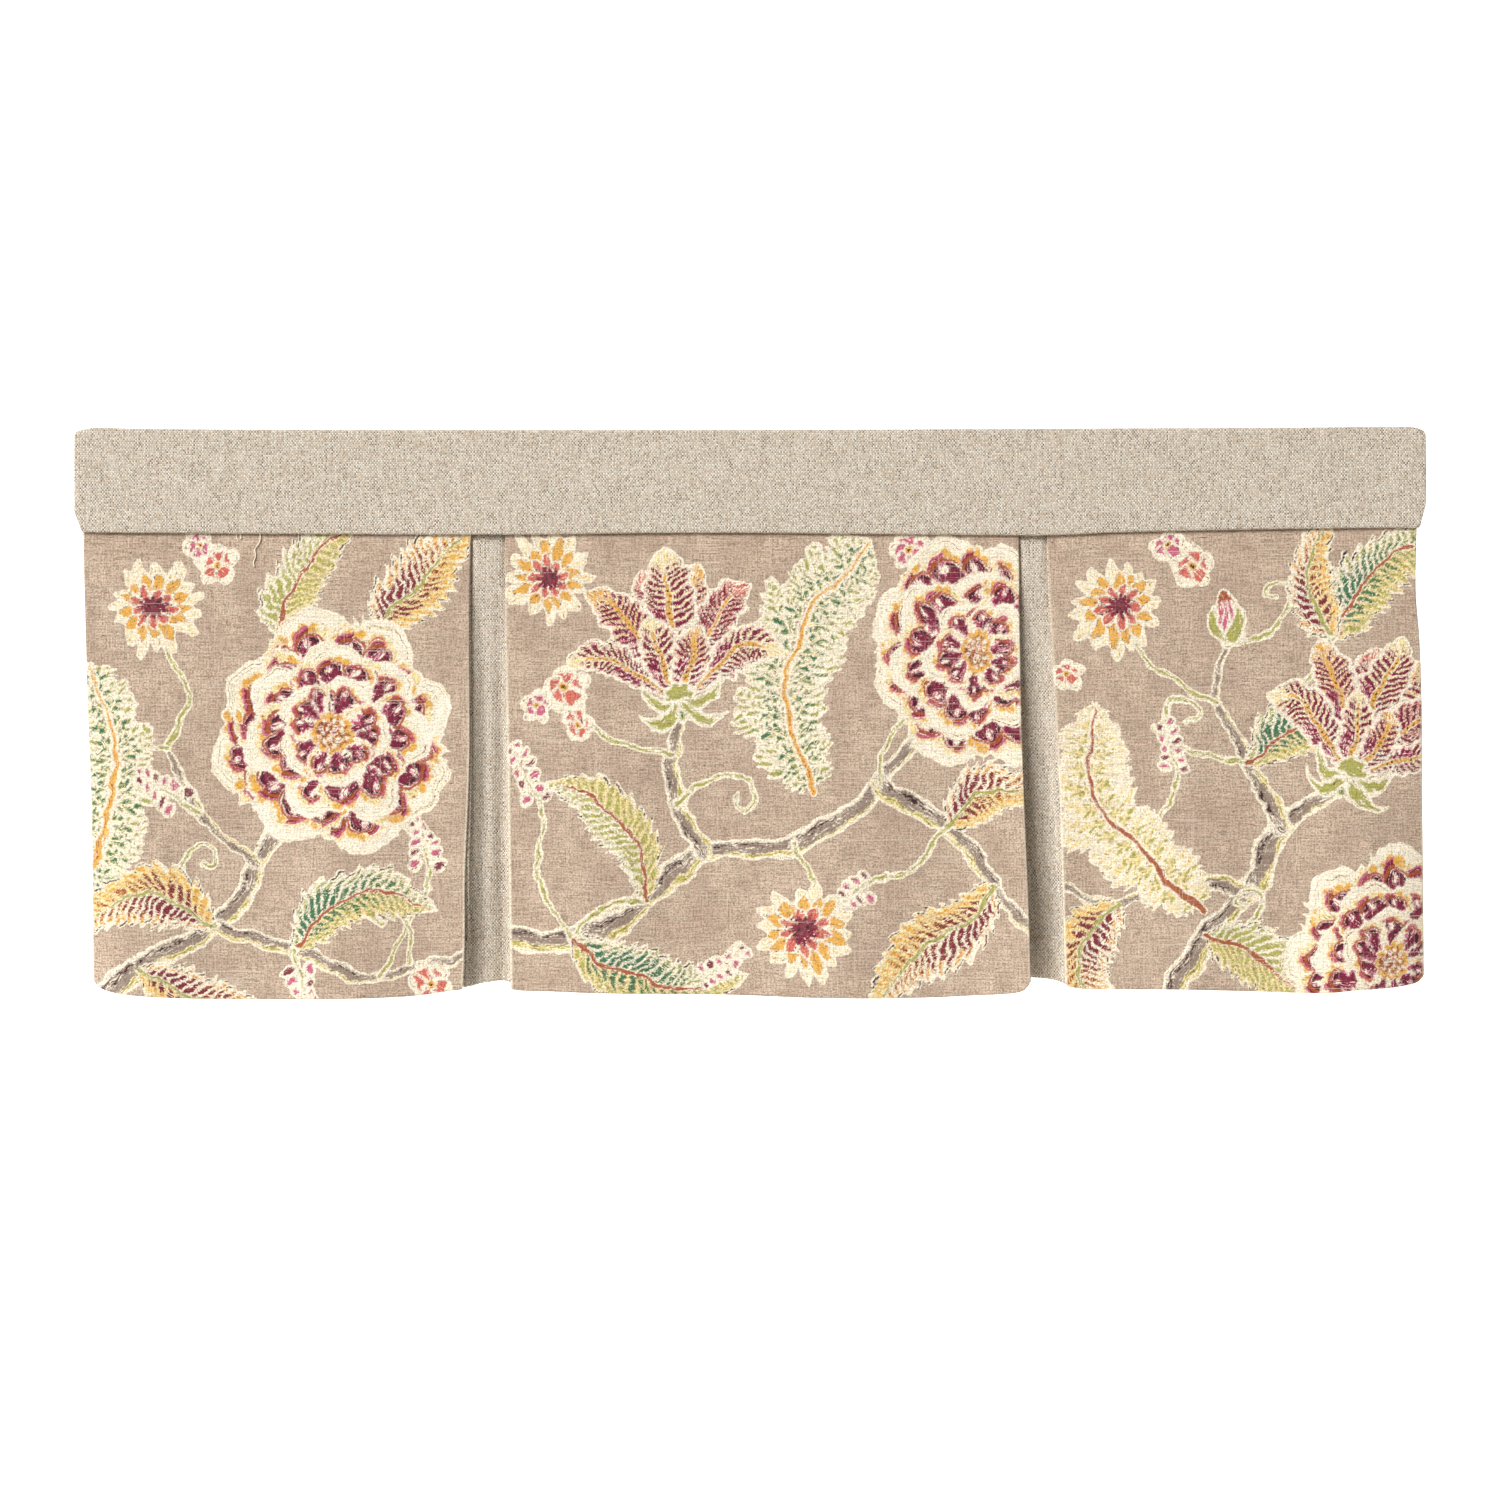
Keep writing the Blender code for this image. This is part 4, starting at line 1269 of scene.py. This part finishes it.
def draw_floret(cloth_print, place, turn, size, ink):
    """A small flower of five round petals."""
    for i in range(5):
        angle = turn + 2 * math.pi * i / 5
        petal = disc(cloth_print, toward(place, angle, 7.5 * size), 6.2 * size, 1.15, angle)
        cloth_print.lay(petal, -0.8, cream=1.0)
        cloth_print.tint(petal, 1.5 * size, (petal.share < 0.62), **{ink: 0.85})
        rim = near_edge(petal, 1.2, 1.2) * (petal.side < 0)
        cloth_print.tint(petal, 0, rim, wine=0.66)
    cloth_print.lay(disc(cloth_print, place, 2.8 * size), cream=1.0, ochre=0.95)
    cloth_print.tint(disc(cloth_print, place, 1.3 * size), line=0.9)


def draw_berries(cloth_print, place, turn, size):
    """A spray of round berries on a curving stalk."""
    stalk = placed([(0, 0), (4, 22), (0, 44), (-9, 62)], place, turn, size)
    draw_stem(cloth_print, stalk, 1.5)
    for i in range(11):
        share = (i + 1) / 11.5
        way = -1 if i % 2 else 1
        beside = 4 * math.sin(3 * share) + way * (11 - 8 * share)
        spot = placed([(beside, 12 + 58 * share)], place, turn, size)[0]
        berry = disc(cloth_print, spot, (5.6 - 1.6 * share) * size, 1.1, turn + share)
        cloth_print.lay(berry, -0.9, cream=1.0)
        ink = "rose" if i % 3 else "wine"
        cloth_print.tint(berry, 1.3, (berry.side * way < 1.5), **{ink: 0.84})
        rim = near_edge(berry, 1.0, 1.2) * (berry.side * way < 0)
        cloth_print.tint(berry, 0, rim, line=0.66)


def draw_bud(cloth_print, place, turn, size, ink):
    """A closed bud in its sepals."""
    points = placed([(0, 0), (2, 16), (0, 34)], place, turn, size)
    bud = blade(cloth_print, points, 11 * size, 0.45, 0.75)
    cloth_print.lay(bud, -1.2, cream=1.0)
    cloth_print.tint(bud, 1.6, bands(bud.side / 6.0 + 0.25, 0.62, 6.0), **{ink: 0.9})
    cloth_print.tint(bud, 1.5, (bud.share > 0.72), rust=0.72)
    for way in (-1, 1):
        points = placed([(0, -1), (way * 9, 8), (way * 10, 24)], place, turn, size)
        sepal = blade(cloth_print, points, 4.6 * size, 0.4, 1.0)
        cloth_print.lay(sepal, -1.0, cream=1.0)
        cloth_print.tint(sepal, 1.3, olive=0.88)


MOTIFS = {
    "branch": draw_branch,
    "stem": draw_stem,
    "curl": draw_curl,
    "leaf": draw_leaf,
    "plume": draw_plume,
    "floret": draw_floret,
    "bud": draw_bud,
    "berries": draw_berries,
    "star flower": draw_star_flower,
    "feathered flower": draw_feathered_flower,
    "round flower": draw_round_flower,
}
UNEVEN_MOTIFS = ("star flower", "round flower")


def draw_print(cloth_print, panel):
    """A panel's drawing, back to front: a generic garden of trailing branches, leaves and
    flowers, laid out for this skirt."""
    for row, (kind, *facts) in enumerate(PRINT_LAYOUT[panel]):
        if kind in UNEVEN_MOTIFS:
            facts.append(np.random.default_rng(row))
        MOTIFS[kind](cloth_print, *facts)


def add_node(tree, kind, *inputs, sockets=None, output=0, **settings):
    """Adds a node, sets its properties, and sets or links its inputs, which are given in their
    order or by name or number. Returns one of its outputs."""
    made = tree.nodes.new(kind)
    for setting, value in settings.items():
        setattr(made, setting, value)
    for socket, value in (*enumerate(inputs), *(sockets or {}).items()):
        if isinstance(value, bpy.types.NodeSocket):
            tree.links.new(value, made.inputs[socket])
        elif value is not None:
            made.inputs[socket].default_value = value
    return made.outputs[output] if made.outputs else None


def new_material(name):
    """An empty material, and the function that adds nodes to it."""
    material = bpy.data.materials.new(name)
    material.use_nodes = True
    material.node_tree.nodes.clear()
    return material, functools.partial(add_node, material.node_tree)


def uneven_threads(add, thread, across, along, seed, detail=1.0):
    """Uneven threads: noise so many metres wide across and along, from 0 to 1."""
    scale = (1 / across, 1 / along, 1.0)
    place = (seed, seed * 1.7, seed)
    spread = add("ShaderNodeMapping", sockets={"Vector": thread, "Location": place, "Scale": scale})
    return add(NOISE, sockets={"Vector": spread, "Scale": 1.0, "Detail": detail, "Roughness": 0.5})


def make_printed_cloth(name, weave_sizes, colours, wrong_side):
    """Linen and cotton plain weave, block printed. The eye gets a fine uneven crosshatch with
    pale slubs, ragged ink that thins along the brush strokes, and no gloss. On the wrong side
    the print shows through faintly."""
    material, add = new_material(name)
    thread = add("ShaderNodeAttribute", attribute_name="thread", output="Vector")
    strokes = add("ShaderNodeAttribute", attribute_name="strokes", output="Vector")
    pitch = weave_sizes.print_thread
    warp = uneven_threads(add, thread, pitch, PRINT_THREAD_RUN, 3.0)
    weft = uneven_threads(add, thread, PRINT_THREAD_RUN * 1.3, pitch, 11.0)
    nap = uneven_threads(add, thread, 0.0016, 0.0016, 67.0, 0.0)
    weave = add(MATH, warp, 0.27, add(MATH, weft, 0.33, operation="MULTIPLY"), operation="MULTIPLY_ADD")
    weave = add(MATH, nap, 0.40, weave, operation="MULTIPLY_ADD")
    slub = uneven_threads(add, thread, 0.075, 0.0013, 23.0, 0.0)
    slub = add(RANGE, slub, 0.70, 0.80, 0.0, 0.62, interpolation_type="SMOOTHSTEP")
    slub_up = uneven_threads(add, thread, 0.0013, 0.060, 31.0, 0.0)
    slub_up = add(RANGE, slub_up, 0.70, 0.80, 0.0, 0.36, interpolation_type="SMOOTHSTEP")
    pale = add(MATH, slub, slub_up, operation="MAXIMUM")
    cloudy = uneven_threads(add, thread, 0.030, 0.045, 41.0, 2.0)
    cloudy = add(RANGE, cloudy, 0.35, 0.65, 0.0, 1.0, interpolation_type="SMOOTHSTEP")
    hair = (1 / STROKE_LENGTH, 1 / STROKE_WIDTH, 1.0)
    hair = add("ShaderNodeMapping", sockets={"Vector": strokes, "Scale": hair})
    brushed = add(NOISE, sockets={"Vector": hair, "Scale": 1.0, "Detail": 2.0})
    speckled = uneven_threads(add, thread, 0.0021, 0.0021, 53.0, 2.0)
    ragged = add(MATH, brushed, 1.3, -1.3, operation="MULTIPLY_ADD")
    ragged = add(MATH, speckled, 0.8, ragged, operation="MULTIPLY_ADD")
    ragged = add(MATH, weave, 0.5, ragged, operation="MULTIPLY_ADD")

    # The dyed ground, lighter and darker in clouds, greyer where the thread is worn
    ground = (*colours.ground, 1.0)
    light, worn = linear(GROUND_LIGHT), linear(GROUND_WORN)
    colour = add(MIX, sockets={0: cloudy, 6: ground, 7: light}, output=2, data_type="RGBA")
    patchy_share = add(RANGE, weave, 0.58, 0.36, 0.0, 0.8, interpolation_type="SMOOTHSTEP")
    colour = add(MIX, sockets={0: patchy_share, 6: colour, 7: worn}, output=2, data_type="RGBA")
    for ink, (_, rough, soft) in INKS.items():
        density = add("ShaderNodeAttribute", attribute_name=f"ink_{ink}", output="Fac")
        uneven = add(MATH, ragged, rough, density, operation="MULTIPLY_ADD")
        strength = WRONG_SIDE_INK if wrong_side else INK_STRENGTH
        smooth = {"interpolation_type": "SMOOTHSTEP"}
        mask = add(RANGE, uneven, 0.5 - soft, 0.5 + soft, 0.0, strength, **smooth)
        tint = (*getattr(colours, ink), 1.0)
        if ink == "cream":
            wash = add(RANGE, brushed, 0.50, 0.70, 0.0, 1.0, **smooth)
            tint = add(MIX, sockets={0: wash, 6: tint, 7: linear(CREAM_WASH)}, output=2, data_type="RGBA")
        colour = add(MIX, sockets={0: mask, 6: colour, 7: tint}, output=2, data_type="RGBA")
    tone = add(RANGE, weave, 0.34, 0.66, 0.66, 1.38)
    shade = add("ShaderNodeCombineColor", tone, tone, tone)
    shaded = {0: 1.0, 6: colour, 7: shade}
    colour = add(MIX, sockets=shaded, output=2, data_type="RGBA", blend_type="MULTIPLY")
    colour = add(MIX, sockets={0: pale, 6: colour, 7: linear(SLUB_COLOUR)}, output=2, data_type="RGBA")
    # Painted highlight along the rolled side edges, broken up by speckle
    edge_highlight = add("ShaderNodeAttribute", attribute_name="edge_highlight", output="Fac")
    patchy_share = add(RANGE, speckled, 0.36, 0.56, 0.25, 0.95, interpolation_type="SMOOTHSTEP")
    edge_highlight = add(MATH, edge_highlight, patchy_share, operation="MULTIPLY")
    colour = add(MIX, sockets={0: edge_highlight, 6: colour, 7: linear(EDGE_HIGHLIGHT)}, output=2, data_type="RGBA")
    height = add(MATH, slub, 0.6, weave, operation="MULTIPLY_ADD")
    bump = add("ShaderNodeBump", sockets={"Height": height, "Strength": 0.5, "Distance": 0.0005})
    finish = {"Base Color": colour, "Normal": bump}
    finish.update({"Roughness": 0.88, "Specular IOR Level": 0.25, "Sheen Weight": 0.08})
    add("ShaderNodeOutputMaterial", add("ShaderNodeBsdfPrincipled", sockets=finish))
    return material


def make_oatmeal_cloth(name, weave_sizes, colours):
    """Coarse slubby plain weave of undyed linen and cotton. The threads' light and shade are painted
    into its colour: painted highlights as bright dots where a thick warp lies over, painted shade as
    dark flecks where it dives under, both stronger along the pale slub yarn. The real threads are 1.25
    and 1.55 mm apart, drawn a little coarser so that the dots show."""
    material, add = new_material(name)
    thread = add("ShaderNodeAttribute", attribute_name="thread", output="Vector")
    drift = add(NOISE, sockets={"Vector": thread, "Scale": 60.0, "Detail": 1.0}, output="Color")
    drift = add(VECTOR, drift, (0.5, 0.5, 0.5), operation="SUBTRACT")
    uneven = add(VECTOR, drift, (OATMEAL_DRIFT, OATMEAL_DRIFT, 0.0), thread, operation="MULTIPLY_ADD")
    pitches = (1 / weave_sizes.oatmeal_warp, 1 / weave_sizes.oatmeal_weft, 1.0)
    crossing = add(VECTOR, uneven, pitches, operation="MULTIPLY")
    number = add(VECTOR, crossing, (0.5, 0.5, 0.0), operation="ADD")
    number = add(VECTOR, number, operation="FLOOR")
    own = add(VECTOR, crossing, number, operation="SUBTRACT")
    own = add("ShaderNodeSeparateXYZ", own).node.outputs
    count = add("ShaderNodeSeparateXYZ", number).node.outputs
    chance = add("ShaderNodeTexWhiteNoise", number, noise_dimensions="3D")
    warp_top = add(MATH, add(MATH, own["X"], 2 * math.pi, operation="MULTIPLY"), operation="COSINE")
    weft_top = add(MATH, add(MATH, own["Y"], 2 * math.pi, operation="MULTIPLY"), operation="COSINE")
    tall = add(MATH, warp_top, weft_top, operation="ADD")
    knuckle = add(RANGE, tall, -1.2, 0.8, 0.0, 1.0)
    parity = add(MATH, count["X"], count["Y"], operation="ADD")
    parity = add(MATH, parity, 1.0, operation="PINGPONG")
    over = add(MATH, knuckle, parity, operation="MULTIPLY")
    under = add(MATH, knuckle, over, operation="SUBTRACT")

    # Slubs are stretches of thick yarn, where the dots stand out; elsewhere the cloth is calmer
    slub = uneven_threads(add, thread, 0.0027, 0.042, 5.0)
    slub = add(RANGE, slub, 0.46, 0.64, OATMEAL_CALM, 1.0, interpolation_type="SMOOTHSTEP")
    patch = uneven_threads(add, thread, 0.0031, 0.026, 27.0)
    patch = add(RANGE, patch, 0.40, 0.60, OATMEAL_CALM, 1.0, interpolation_type="SMOOTHSTEP")
    cloudy = uneven_threads(add, thread, 0.020, 0.014, 15.0, 2.0)
    cloudy = add(RANGE, cloudy, 0.35, 0.65, 0.0, 0.16, interpolation_type="SMOOTHSTEP")
    luck = add(RANGE, chance, 0.20, 0.90, 0.0, 1.2)
    middle = (*colours.oatmeal, 1.0)
    colour = add(MIX, sockets={0: cloudy, 6: middle, 7: linear(OATMEAL_DARK)}, output=2, data_type="RGBA")
    # Painted shade in the gaps where the warp dives under, and painted highlights on the knuckles where it
    # lies over
    gap_shade = (under, patch, 1.0, OATMEAL_GAP_SHADE)
    knuckle_highlights = (over, slub, 3.2, OATMEAL_KNUCKLE_HIGHLIGHT)
    for dots, where, strength, tint in (gap_shade, knuckle_highlights):
        share = add(MATH, dots, luck, operation="MULTIPLY")
        share = add(MATH, share, where, operation="MULTIPLY")
        share = add(MATH, share, strength, operation="MULTIPLY", use_clamp=True)
        colour = add(MIX, sockets={0: share, 6: colour, 7: linear(tint)}, output=2, data_type="RGBA")
    nap = uneven_threads(add, thread, 0.0013, 0.0021, 67.0, 0.0)
    tone = add(RANGE, nap, 0.30, 0.70, 0.80, 1.18)
    shaded = {0: 1.0, 6: colour, 7: add("ShaderNodeCombineColor", tone, tone, tone)}
    colour = add(MIX, sockets=shaded, output=2, data_type="RGBA", blend_type="MULTIPLY")
    height = add(MATH, tall, 0.25, add(MATH, over, 0.5, operation="MULTIPLY"), operation="MULTIPLY_ADD")
    bump = add("ShaderNodeBump", sockets={"Height": height, "Strength": 0.8, "Distance": 0.0006})
    finish = {"Base Color": colour, "Normal": bump}
    finish.update({"Roughness": 0.94, "Specular IOR Level": 0.2, "Sheen Weight": 0.10})
    add("ShaderNodeOutputMaterial", add("ShaderNodeBsdfPrincipled", sockets=finish))
    return material


def thread_places(mesh, across):
    """Writes each point's place in its flat cloth, in metres: along the weft and down the warp.
    across gives the weft place of the face from a point's share along it and its drop."""
    along, down, over_side, over_end = (point_values(mesh, layer) for layer in CLOTH_LAYERS[:4])
    x, drop = across(along, down)
    places = np.stack((x + over_side, -(drop + over_end), np.zeros(len(x))), axis=1)
    set_point_values(mesh, "thread", places)
    return places


def painted_edge_highlight(mesh, panel, width):
    """How much painted highlight each point of a panel gets: a pale line along its rolled side edges."""
    along, over_side = point_values(mesh, "along"), point_values(mesh, "over_side")
    drop = -point_values(mesh, "thread", 3)[:, 1]
    left, right, start, end = PANEL_EDGE_HIGHLIGHT[panel]
    from_left = np.where(over_side == 0, along * width, 0.0)
    from_right = np.where(over_side == 0, (1 - along) * width, 0.0)
    on_left = left * (over_side <= 0) * (1 - ease(from_left, 0.0, EDGE_HIGHLIGHT_WIDTH))
    on_right = right * (over_side >= 0) * (1 - ease(from_right, 0.0, EDGE_HIGHLIGHT_WIDTH))
    round_edge = 1 - ease(np.abs(over_side), SIDE_TURN_RADIUS * 1.0, SIDE_TURN_RADIUS * 2.0)
    return np.maximum(on_left, on_right) * round_edge * ease(drop, start, end)


def add_loose_threads(band):
    """Joins the ends of yarn that hang out of the heading's seam to its mesh."""
    shape = bmesh.new()
    shape.from_mesh(band.data)
    known = set(shape.faces)
    for path in LOOSE_THREADS:
        path = smooth_line(path, 5)
        depth = skirt_depth("panel_left", path[:, 0], path[:, 1]) - YARN_RADIUS
        spots = [Vector((x, y, -drop)) for (x, drop), y in zip(path, depth)]
        ring = bmesh.ops.create_circle(shape, segments=6, radius=YARN_RADIUS)["verts"]
        bmesh.ops.translate(shape, verts=ring, vec=spots[0])
        border = list({edge for vertex in ring for edge in vertex.link_edges})
        for before, after in zip(spots, spots[1:]):
            made = bmesh.ops.extrude_edge_only(shape, edges=border)["geom"]
            ring = [part for part in made if isinstance(part, bmesh.types.BMVert)]
            border = [
                part
                for part in made
                if isinstance(part, bmesh.types.BMEdge) and all(v in ring for v in part.verts)
            ]
            bmesh.ops.translate(shape, verts=ring, vec=after - before)
        bmesh.ops.contextual_create(shape, geom=border)
    yarn = [side for side in shape.faces if side not in known]
    bmesh.ops.recalc_face_normals(shape, faces=yarn)
    for side in yarn:
        side.material_index = 2
    shape.to_mesh(band.data)
    shape.free()
    band.data.shade_smooth()
    material, add = new_material("Loose cream sewing yarn")
    yarn = add("ShaderNodeBsdfPrincipled", sockets={"Base Color": linear(YARN_COLOUR), "Roughness": 0.9})
    add("ShaderNodeOutputMaterial", yarn)
    band.data.materials.append(material)


def flat_places(face):
    """The weft place and drop of a face that hangs nearly flat."""

    def across(along, down):
        places = face(along, down)
        return places[:, 0], -places[:, 2]

    return across


def drop_layers(mesh, keep):
    """Removes the attributes that only the making needed."""
    for layer in CLOTH_LAYERS:
        if layer not in keep:
            mesh.attributes.remove(mesh.attributes[layer])


def finish_cloth(cloth, node, right, wrong):
    """Gives a cloth its materials, hangs it on the body and hides the solid part that it stands for."""
    cloth.data.materials[0] = right
    cloth.data.materials[1] = wrong
    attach(cloth, BODY)
    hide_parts(node)


class ValanceWeave(bpy.types.PropertyGroup):
    """Sizes of the cloths that a user would change."""

    print_thread: bpy.props.FloatProperty(
        name="Printed thread",
        description="How wide the threads of the printed cloth are drawn",
        default=0.0013,
        unit="LENGTH",
        precision=4,
    )
    oatmeal_warp: bpy.props.FloatProperty(
        name="Oatmeal warp",
        description="How far apart the oatmeal cloth's upright threads are drawn",
        default=0.0014,
        unit="LENGTH",
        precision=4,
    )
    oatmeal_weft: bpy.props.FloatProperty(
        name="Oatmeal weft",
        description="How far apart the oatmeal cloth's level threads are drawn",
        default=0.0017,
        unit="LENGTH",
        precision=4,
    )


class ValanceColours(bpy.types.PropertyGroup):
    """Colours of the cloths and of the printing inks."""

    __annotations__ = {
        name: bpy.props.FloatVectorProperty(
            name=name.capitalize(),
            description=f"Colour of the {name} {'cloth' if name in CLOTH_COLOURS else 'ink'}",
            subtype="COLOR",
            min=0.0,
            max=1.0,
            default=linear(hex_colour)[:3],
        )
        for name, hex_colour in (*CLOTH_COLOURS.items(), *((ink, facts[0]) for ink, facts in INKS.items()))
    }


class VALANCE_OT_heading(bpy.types.Operator):
    """Makes the heading band"""

    bl_idname = "valance.heading"
    bl_label = "Heading band"

    def execute(self, context):
        rows = even_shares(HEADING_CUT_HEIGHT, HEADING_GRID)
        columns = even_shares(HEADING_WIDTH, HEADING_GRID)
        side_turns = (HEADING_SIDE_TURN, HEADING_SIDE_TURN)
        band = add_cloth(
            "heading_cloth",
            heading_face,
            columns,
            rows,
            side_turns,
            SEAM_TURN,
            TOP_TURN,
            OATMEAL_THICKNESS,
            0,
        )
        thread_places(band.data, flat_places(heading_face))
        drop_layers(band.data, ())
        add_loose_threads(band)
        scene = context.scene
        weave_name = "Oatmeal slub weave of the heading"
        material = make_oatmeal_cloth(weave_name, scene.valance_weave, scene.valance_colours)
        finish_cloth(band, "heading_band", material, material)
        return {"FINISHED"}


class VALANCE_OT_panels(bpy.types.Operator):
    """Makes the three printed panels"""

    bl_idname = "valance.panels"
    bl_label = "Printed panels"

    def execute(self, context):
        weave, colours = context.scene.valance_weave, context.scene.valance_colours
        right = make_printed_cloth("Printed linen plain weave", weave, colours, False)
        wrong = make_printed_cloth("Wrong side of the printed linen", weave, colours, True)
        for panel, outline in PANELS.items():
            face = panel_face(panel)
            width = outline["right_edge"][0][1] - outline["left_edge"][0][1]
            grid = PANEL_GRIDS[panel]
            cloth = add_cloth(
                f"{panel}_cloth",
                face,
                even_shares(width, grid),
                even_shares(LONGEST_DROP - SKIRT_TOP_DROP, grid),
                outline["side_turns"],
                HEM_HEIGHT,
                None,
                PRINTED_THICKNESS,
                FACE_CUTS,
            )
            places = thread_places(cloth.data, flat_places(face)) * 1000
            cloth_print = Print(places[:, 0], places[:, 1])
            draw_print(cloth_print, panel)
            for ink, density in cloth_print.inks.items():
                set_point_values(cloth.data, f"ink_{ink}", density)
            set_point_values(cloth.data, "strokes", cloth_print.strokes)
            set_point_values(cloth.data, "edge_highlight", painted_edge_highlight(cloth.data, panel, width))
            drop_layers(cloth.data, ())
            finish_cloth(cloth, panel, right, wrong)
        return {"FINISHED"}


class VALANCE_OT_inserts(bpy.types.Operator):
    """Makes the folded inserts of the two inverted pleats"""

    bl_idname = "valance.inserts"
    bl_label = "Pleat inserts"

    def execute(self, context):
        scene = context.scene
        weave_name = "Oatmeal slub weave of the inserts"
        material = make_oatmeal_cloth(weave_name, scene.valance_weave, scene.valance_colours)
        for name in INSERTS:
            face = insert_face(name)
            columns = np.linspace(0, 1, sum(INSERT_PARTS) + 1)
            cloth = add_cloth(
                f"{name}_cloth",
                face,
                columns,
                even_shares(LONGEST_DROP - SKIRT_TOP_DROP, INSERT_ROW_STEP),
                (INSERT_SEAM_TURN, INSERT_SEAM_TURN),
                HEM_HEIGHT,
                None,
                OATMEAL_THICKNESS,
                0,
            )
            level = np.full(len(columns), 0.5)
            steps = np.linalg.norm(np.diff(face(columns, level), axis=0), axis=1)
            steps = np.maximum(steps, INSERT_FOLD_STEP)
            lengths = np.concatenate(((0.0,), np.cumsum(steps)))

            def across(along, down):
                return np.interp(along, columns, lengths), -face(along, down)[:, 2]

            thread_places(cloth.data, across)
            drop_layers(cloth.data, ())
            finish_cloth(cloth, name, material, material)
        return {"FINISHED"}


class VALANCE_OT_stage(bpy.types.Operator):
    """Makes the floor, the lights and the camera"""

    bl_idname = "valance.stage"
    bl_label = "Stage"

    def execute(self, context):
        shape = bmesh.new()
        bmesh.ops.create_grid(shape, x_segments=1, y_segments=1, size=STAGE_HALF_WIDTH)
        for vertex in shape.verts:
            vertex.co.y = STAGE_BACK if vertex.co.y > 0 else STAGE_FRONT
            vertex.co.z = STAGE_FLOOR_Z
        back = [e for e in shape.edges if all(v.co.y > STAGE_BACK - 0.01 for v in e.verts)]
        bmesh.ops.spin(
            shape,
            geom=back,
            cent=(0, STAGE_BACK, STAGE_FLOOR_Z + STAGE_SWEEP),
            axis=(1, 0, 0),
            angle=math.pi / 2,
            steps=16,
        )
        top = [e for e in shape.edges if all(v.co.y > STAGE_BACK + STAGE_SWEEP - 0.01 for v in e.verts)]
        raised = bmesh.ops.extrude_edge_only(shape, edges=top)["geom"]
        raised = [part for part in raised if isinstance(part, bmesh.types.BMVert)]
        bmesh.ops.translate(shape, verts=raised, vec=(0, 0, STAGE_WALL_HEIGHT))
        bmesh.ops.recalc_face_normals(shape, faces=shape.faces)
        mesh = bpy.data.meshes.new("floor")
        shape.to_mesh(mesh)
        shape.free()
        material, add = new_material("Pale paper sweep")
        place = add("ShaderNodeTexCoord", output="Object")
        tooth = add(NOISE, sockets={"Vector": place, "Scale": 60.0, "Detail": 3.0})
        shades = {0: tooth, 6: linear("#F6F5F2"), 7: linear("#FBFAF8")}
        paper = add(MIX, sockets=shades, output=2, data_type="RGBA")
        glow = {"Emission Color": (1, 1, 1, 1), "Emission Strength": STAGE_GLOW}
        finish = add("ShaderNodeBsdfPrincipled", sockets={"Base Color": paper, "Roughness": 0.9, **glow})
        add("ShaderNodeOutputMaterial", finish)
        mesh.materials.append(material)
        floor = bpy.data.objects.new("floor", mesh)
        context.scene.collection.objects.link(floor)

        world = bpy.data.worlds.new("Studio")
        world.use_nodes = True
        world.node_tree.nodes["Background"].inputs["Color"].default_value = linear(WORLD_COLOUR)
        world.node_tree.nodes["Background"].inputs["Strength"].default_value = WORLD_STRENGTH
        context.scene.world = world
        for name, place, aim, size, power in STAGE_LIGHTS:
            light = bpy.data.lights.new(name, "AREA")
            light.shape = "RECTANGLE"
            light.size, light.size_y = size
            light.energy = power
            lamp = bpy.data.objects.new(name, light)
            lamp.location = place
            lamp.rotation_euler = (Vector(aim) - Vector(place)).to_track_quat("-Z", "Y").to_euler()
            context.scene.collection.objects.link(lamp)

        camera = bpy.data.cameras.new("camera")
        camera.sensor_width = SENSOR_WIDTH
        camera.lens = SENSOR_WIDTH * CAMERA_DISTANCE / VIEW_WIDTH
        eye = bpy.data.objects.new("camera", camera)
        eye.location = (0, SKIRT_FACE_Y - CAMERA_DISTANCE, VIEW_MIDDLE_Z)
        eye.rotation_euler = (math.pi / 2, 0, 0)
        context.scene.collection.objects.link(eye)
        context.scene.camera = eye
        context.scene.view_settings.view_transform = "Standard"
        # The denoiser takes the weave as it is, or it would smooth the threads away
        context.scene.cycles.denoising_prefilter = "NONE"
        return {"FINISHED"}


class VALANCE_PT_panel(bpy.types.Panel):
    """Lists the valance's pieces"""

    bl_idname = "VALANCE_PT_panel"
    bl_label = "Window valance"
    bl_space_type = "VIEW_3D"
    bl_region_type = "UI"
    bl_category = "Valance"

    def draw(self, context):
        for group in (context.scene.valance_weave, context.scene.valance_colours):
            for setting in type(group).__annotations__:
                self.layout.prop(group, setting)
        for operator in OPERATORS:
            self.layout.operator(operator.bl_idname)


OPERATORS = (VALANCE_OT_stage, VALANCE_OT_heading, VALANCE_OT_panels, VALANCE_OT_inserts)
CLASSES = (ValanceWeave, ValanceColours, *OPERATORS, VALANCE_PT_panel)


def register():
    for made in CLASSES:
        bpy.utils.register_class(made)
    bpy.types.Scene.valance_weave = bpy.props.PointerProperty(type=ValanceWeave)
    bpy.types.Scene.valance_colours = bpy.props.PointerProperty(type=ValanceColours)


def unregister():
    del bpy.types.Scene.valance_colours
    del bpy.types.Scene.valance_weave
    for made in reversed(CLASSES):
        bpy.utils.unregister_class(made)


def main():
    """Makes the whole valance."""
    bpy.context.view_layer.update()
    register()
    bpy.ops.valance.stage()
    bpy.ops.valance.heading()
    bpy.ops.valance.panels()
    bpy.ops.valance.inserts()


if __name__ == "__main__":
    main()
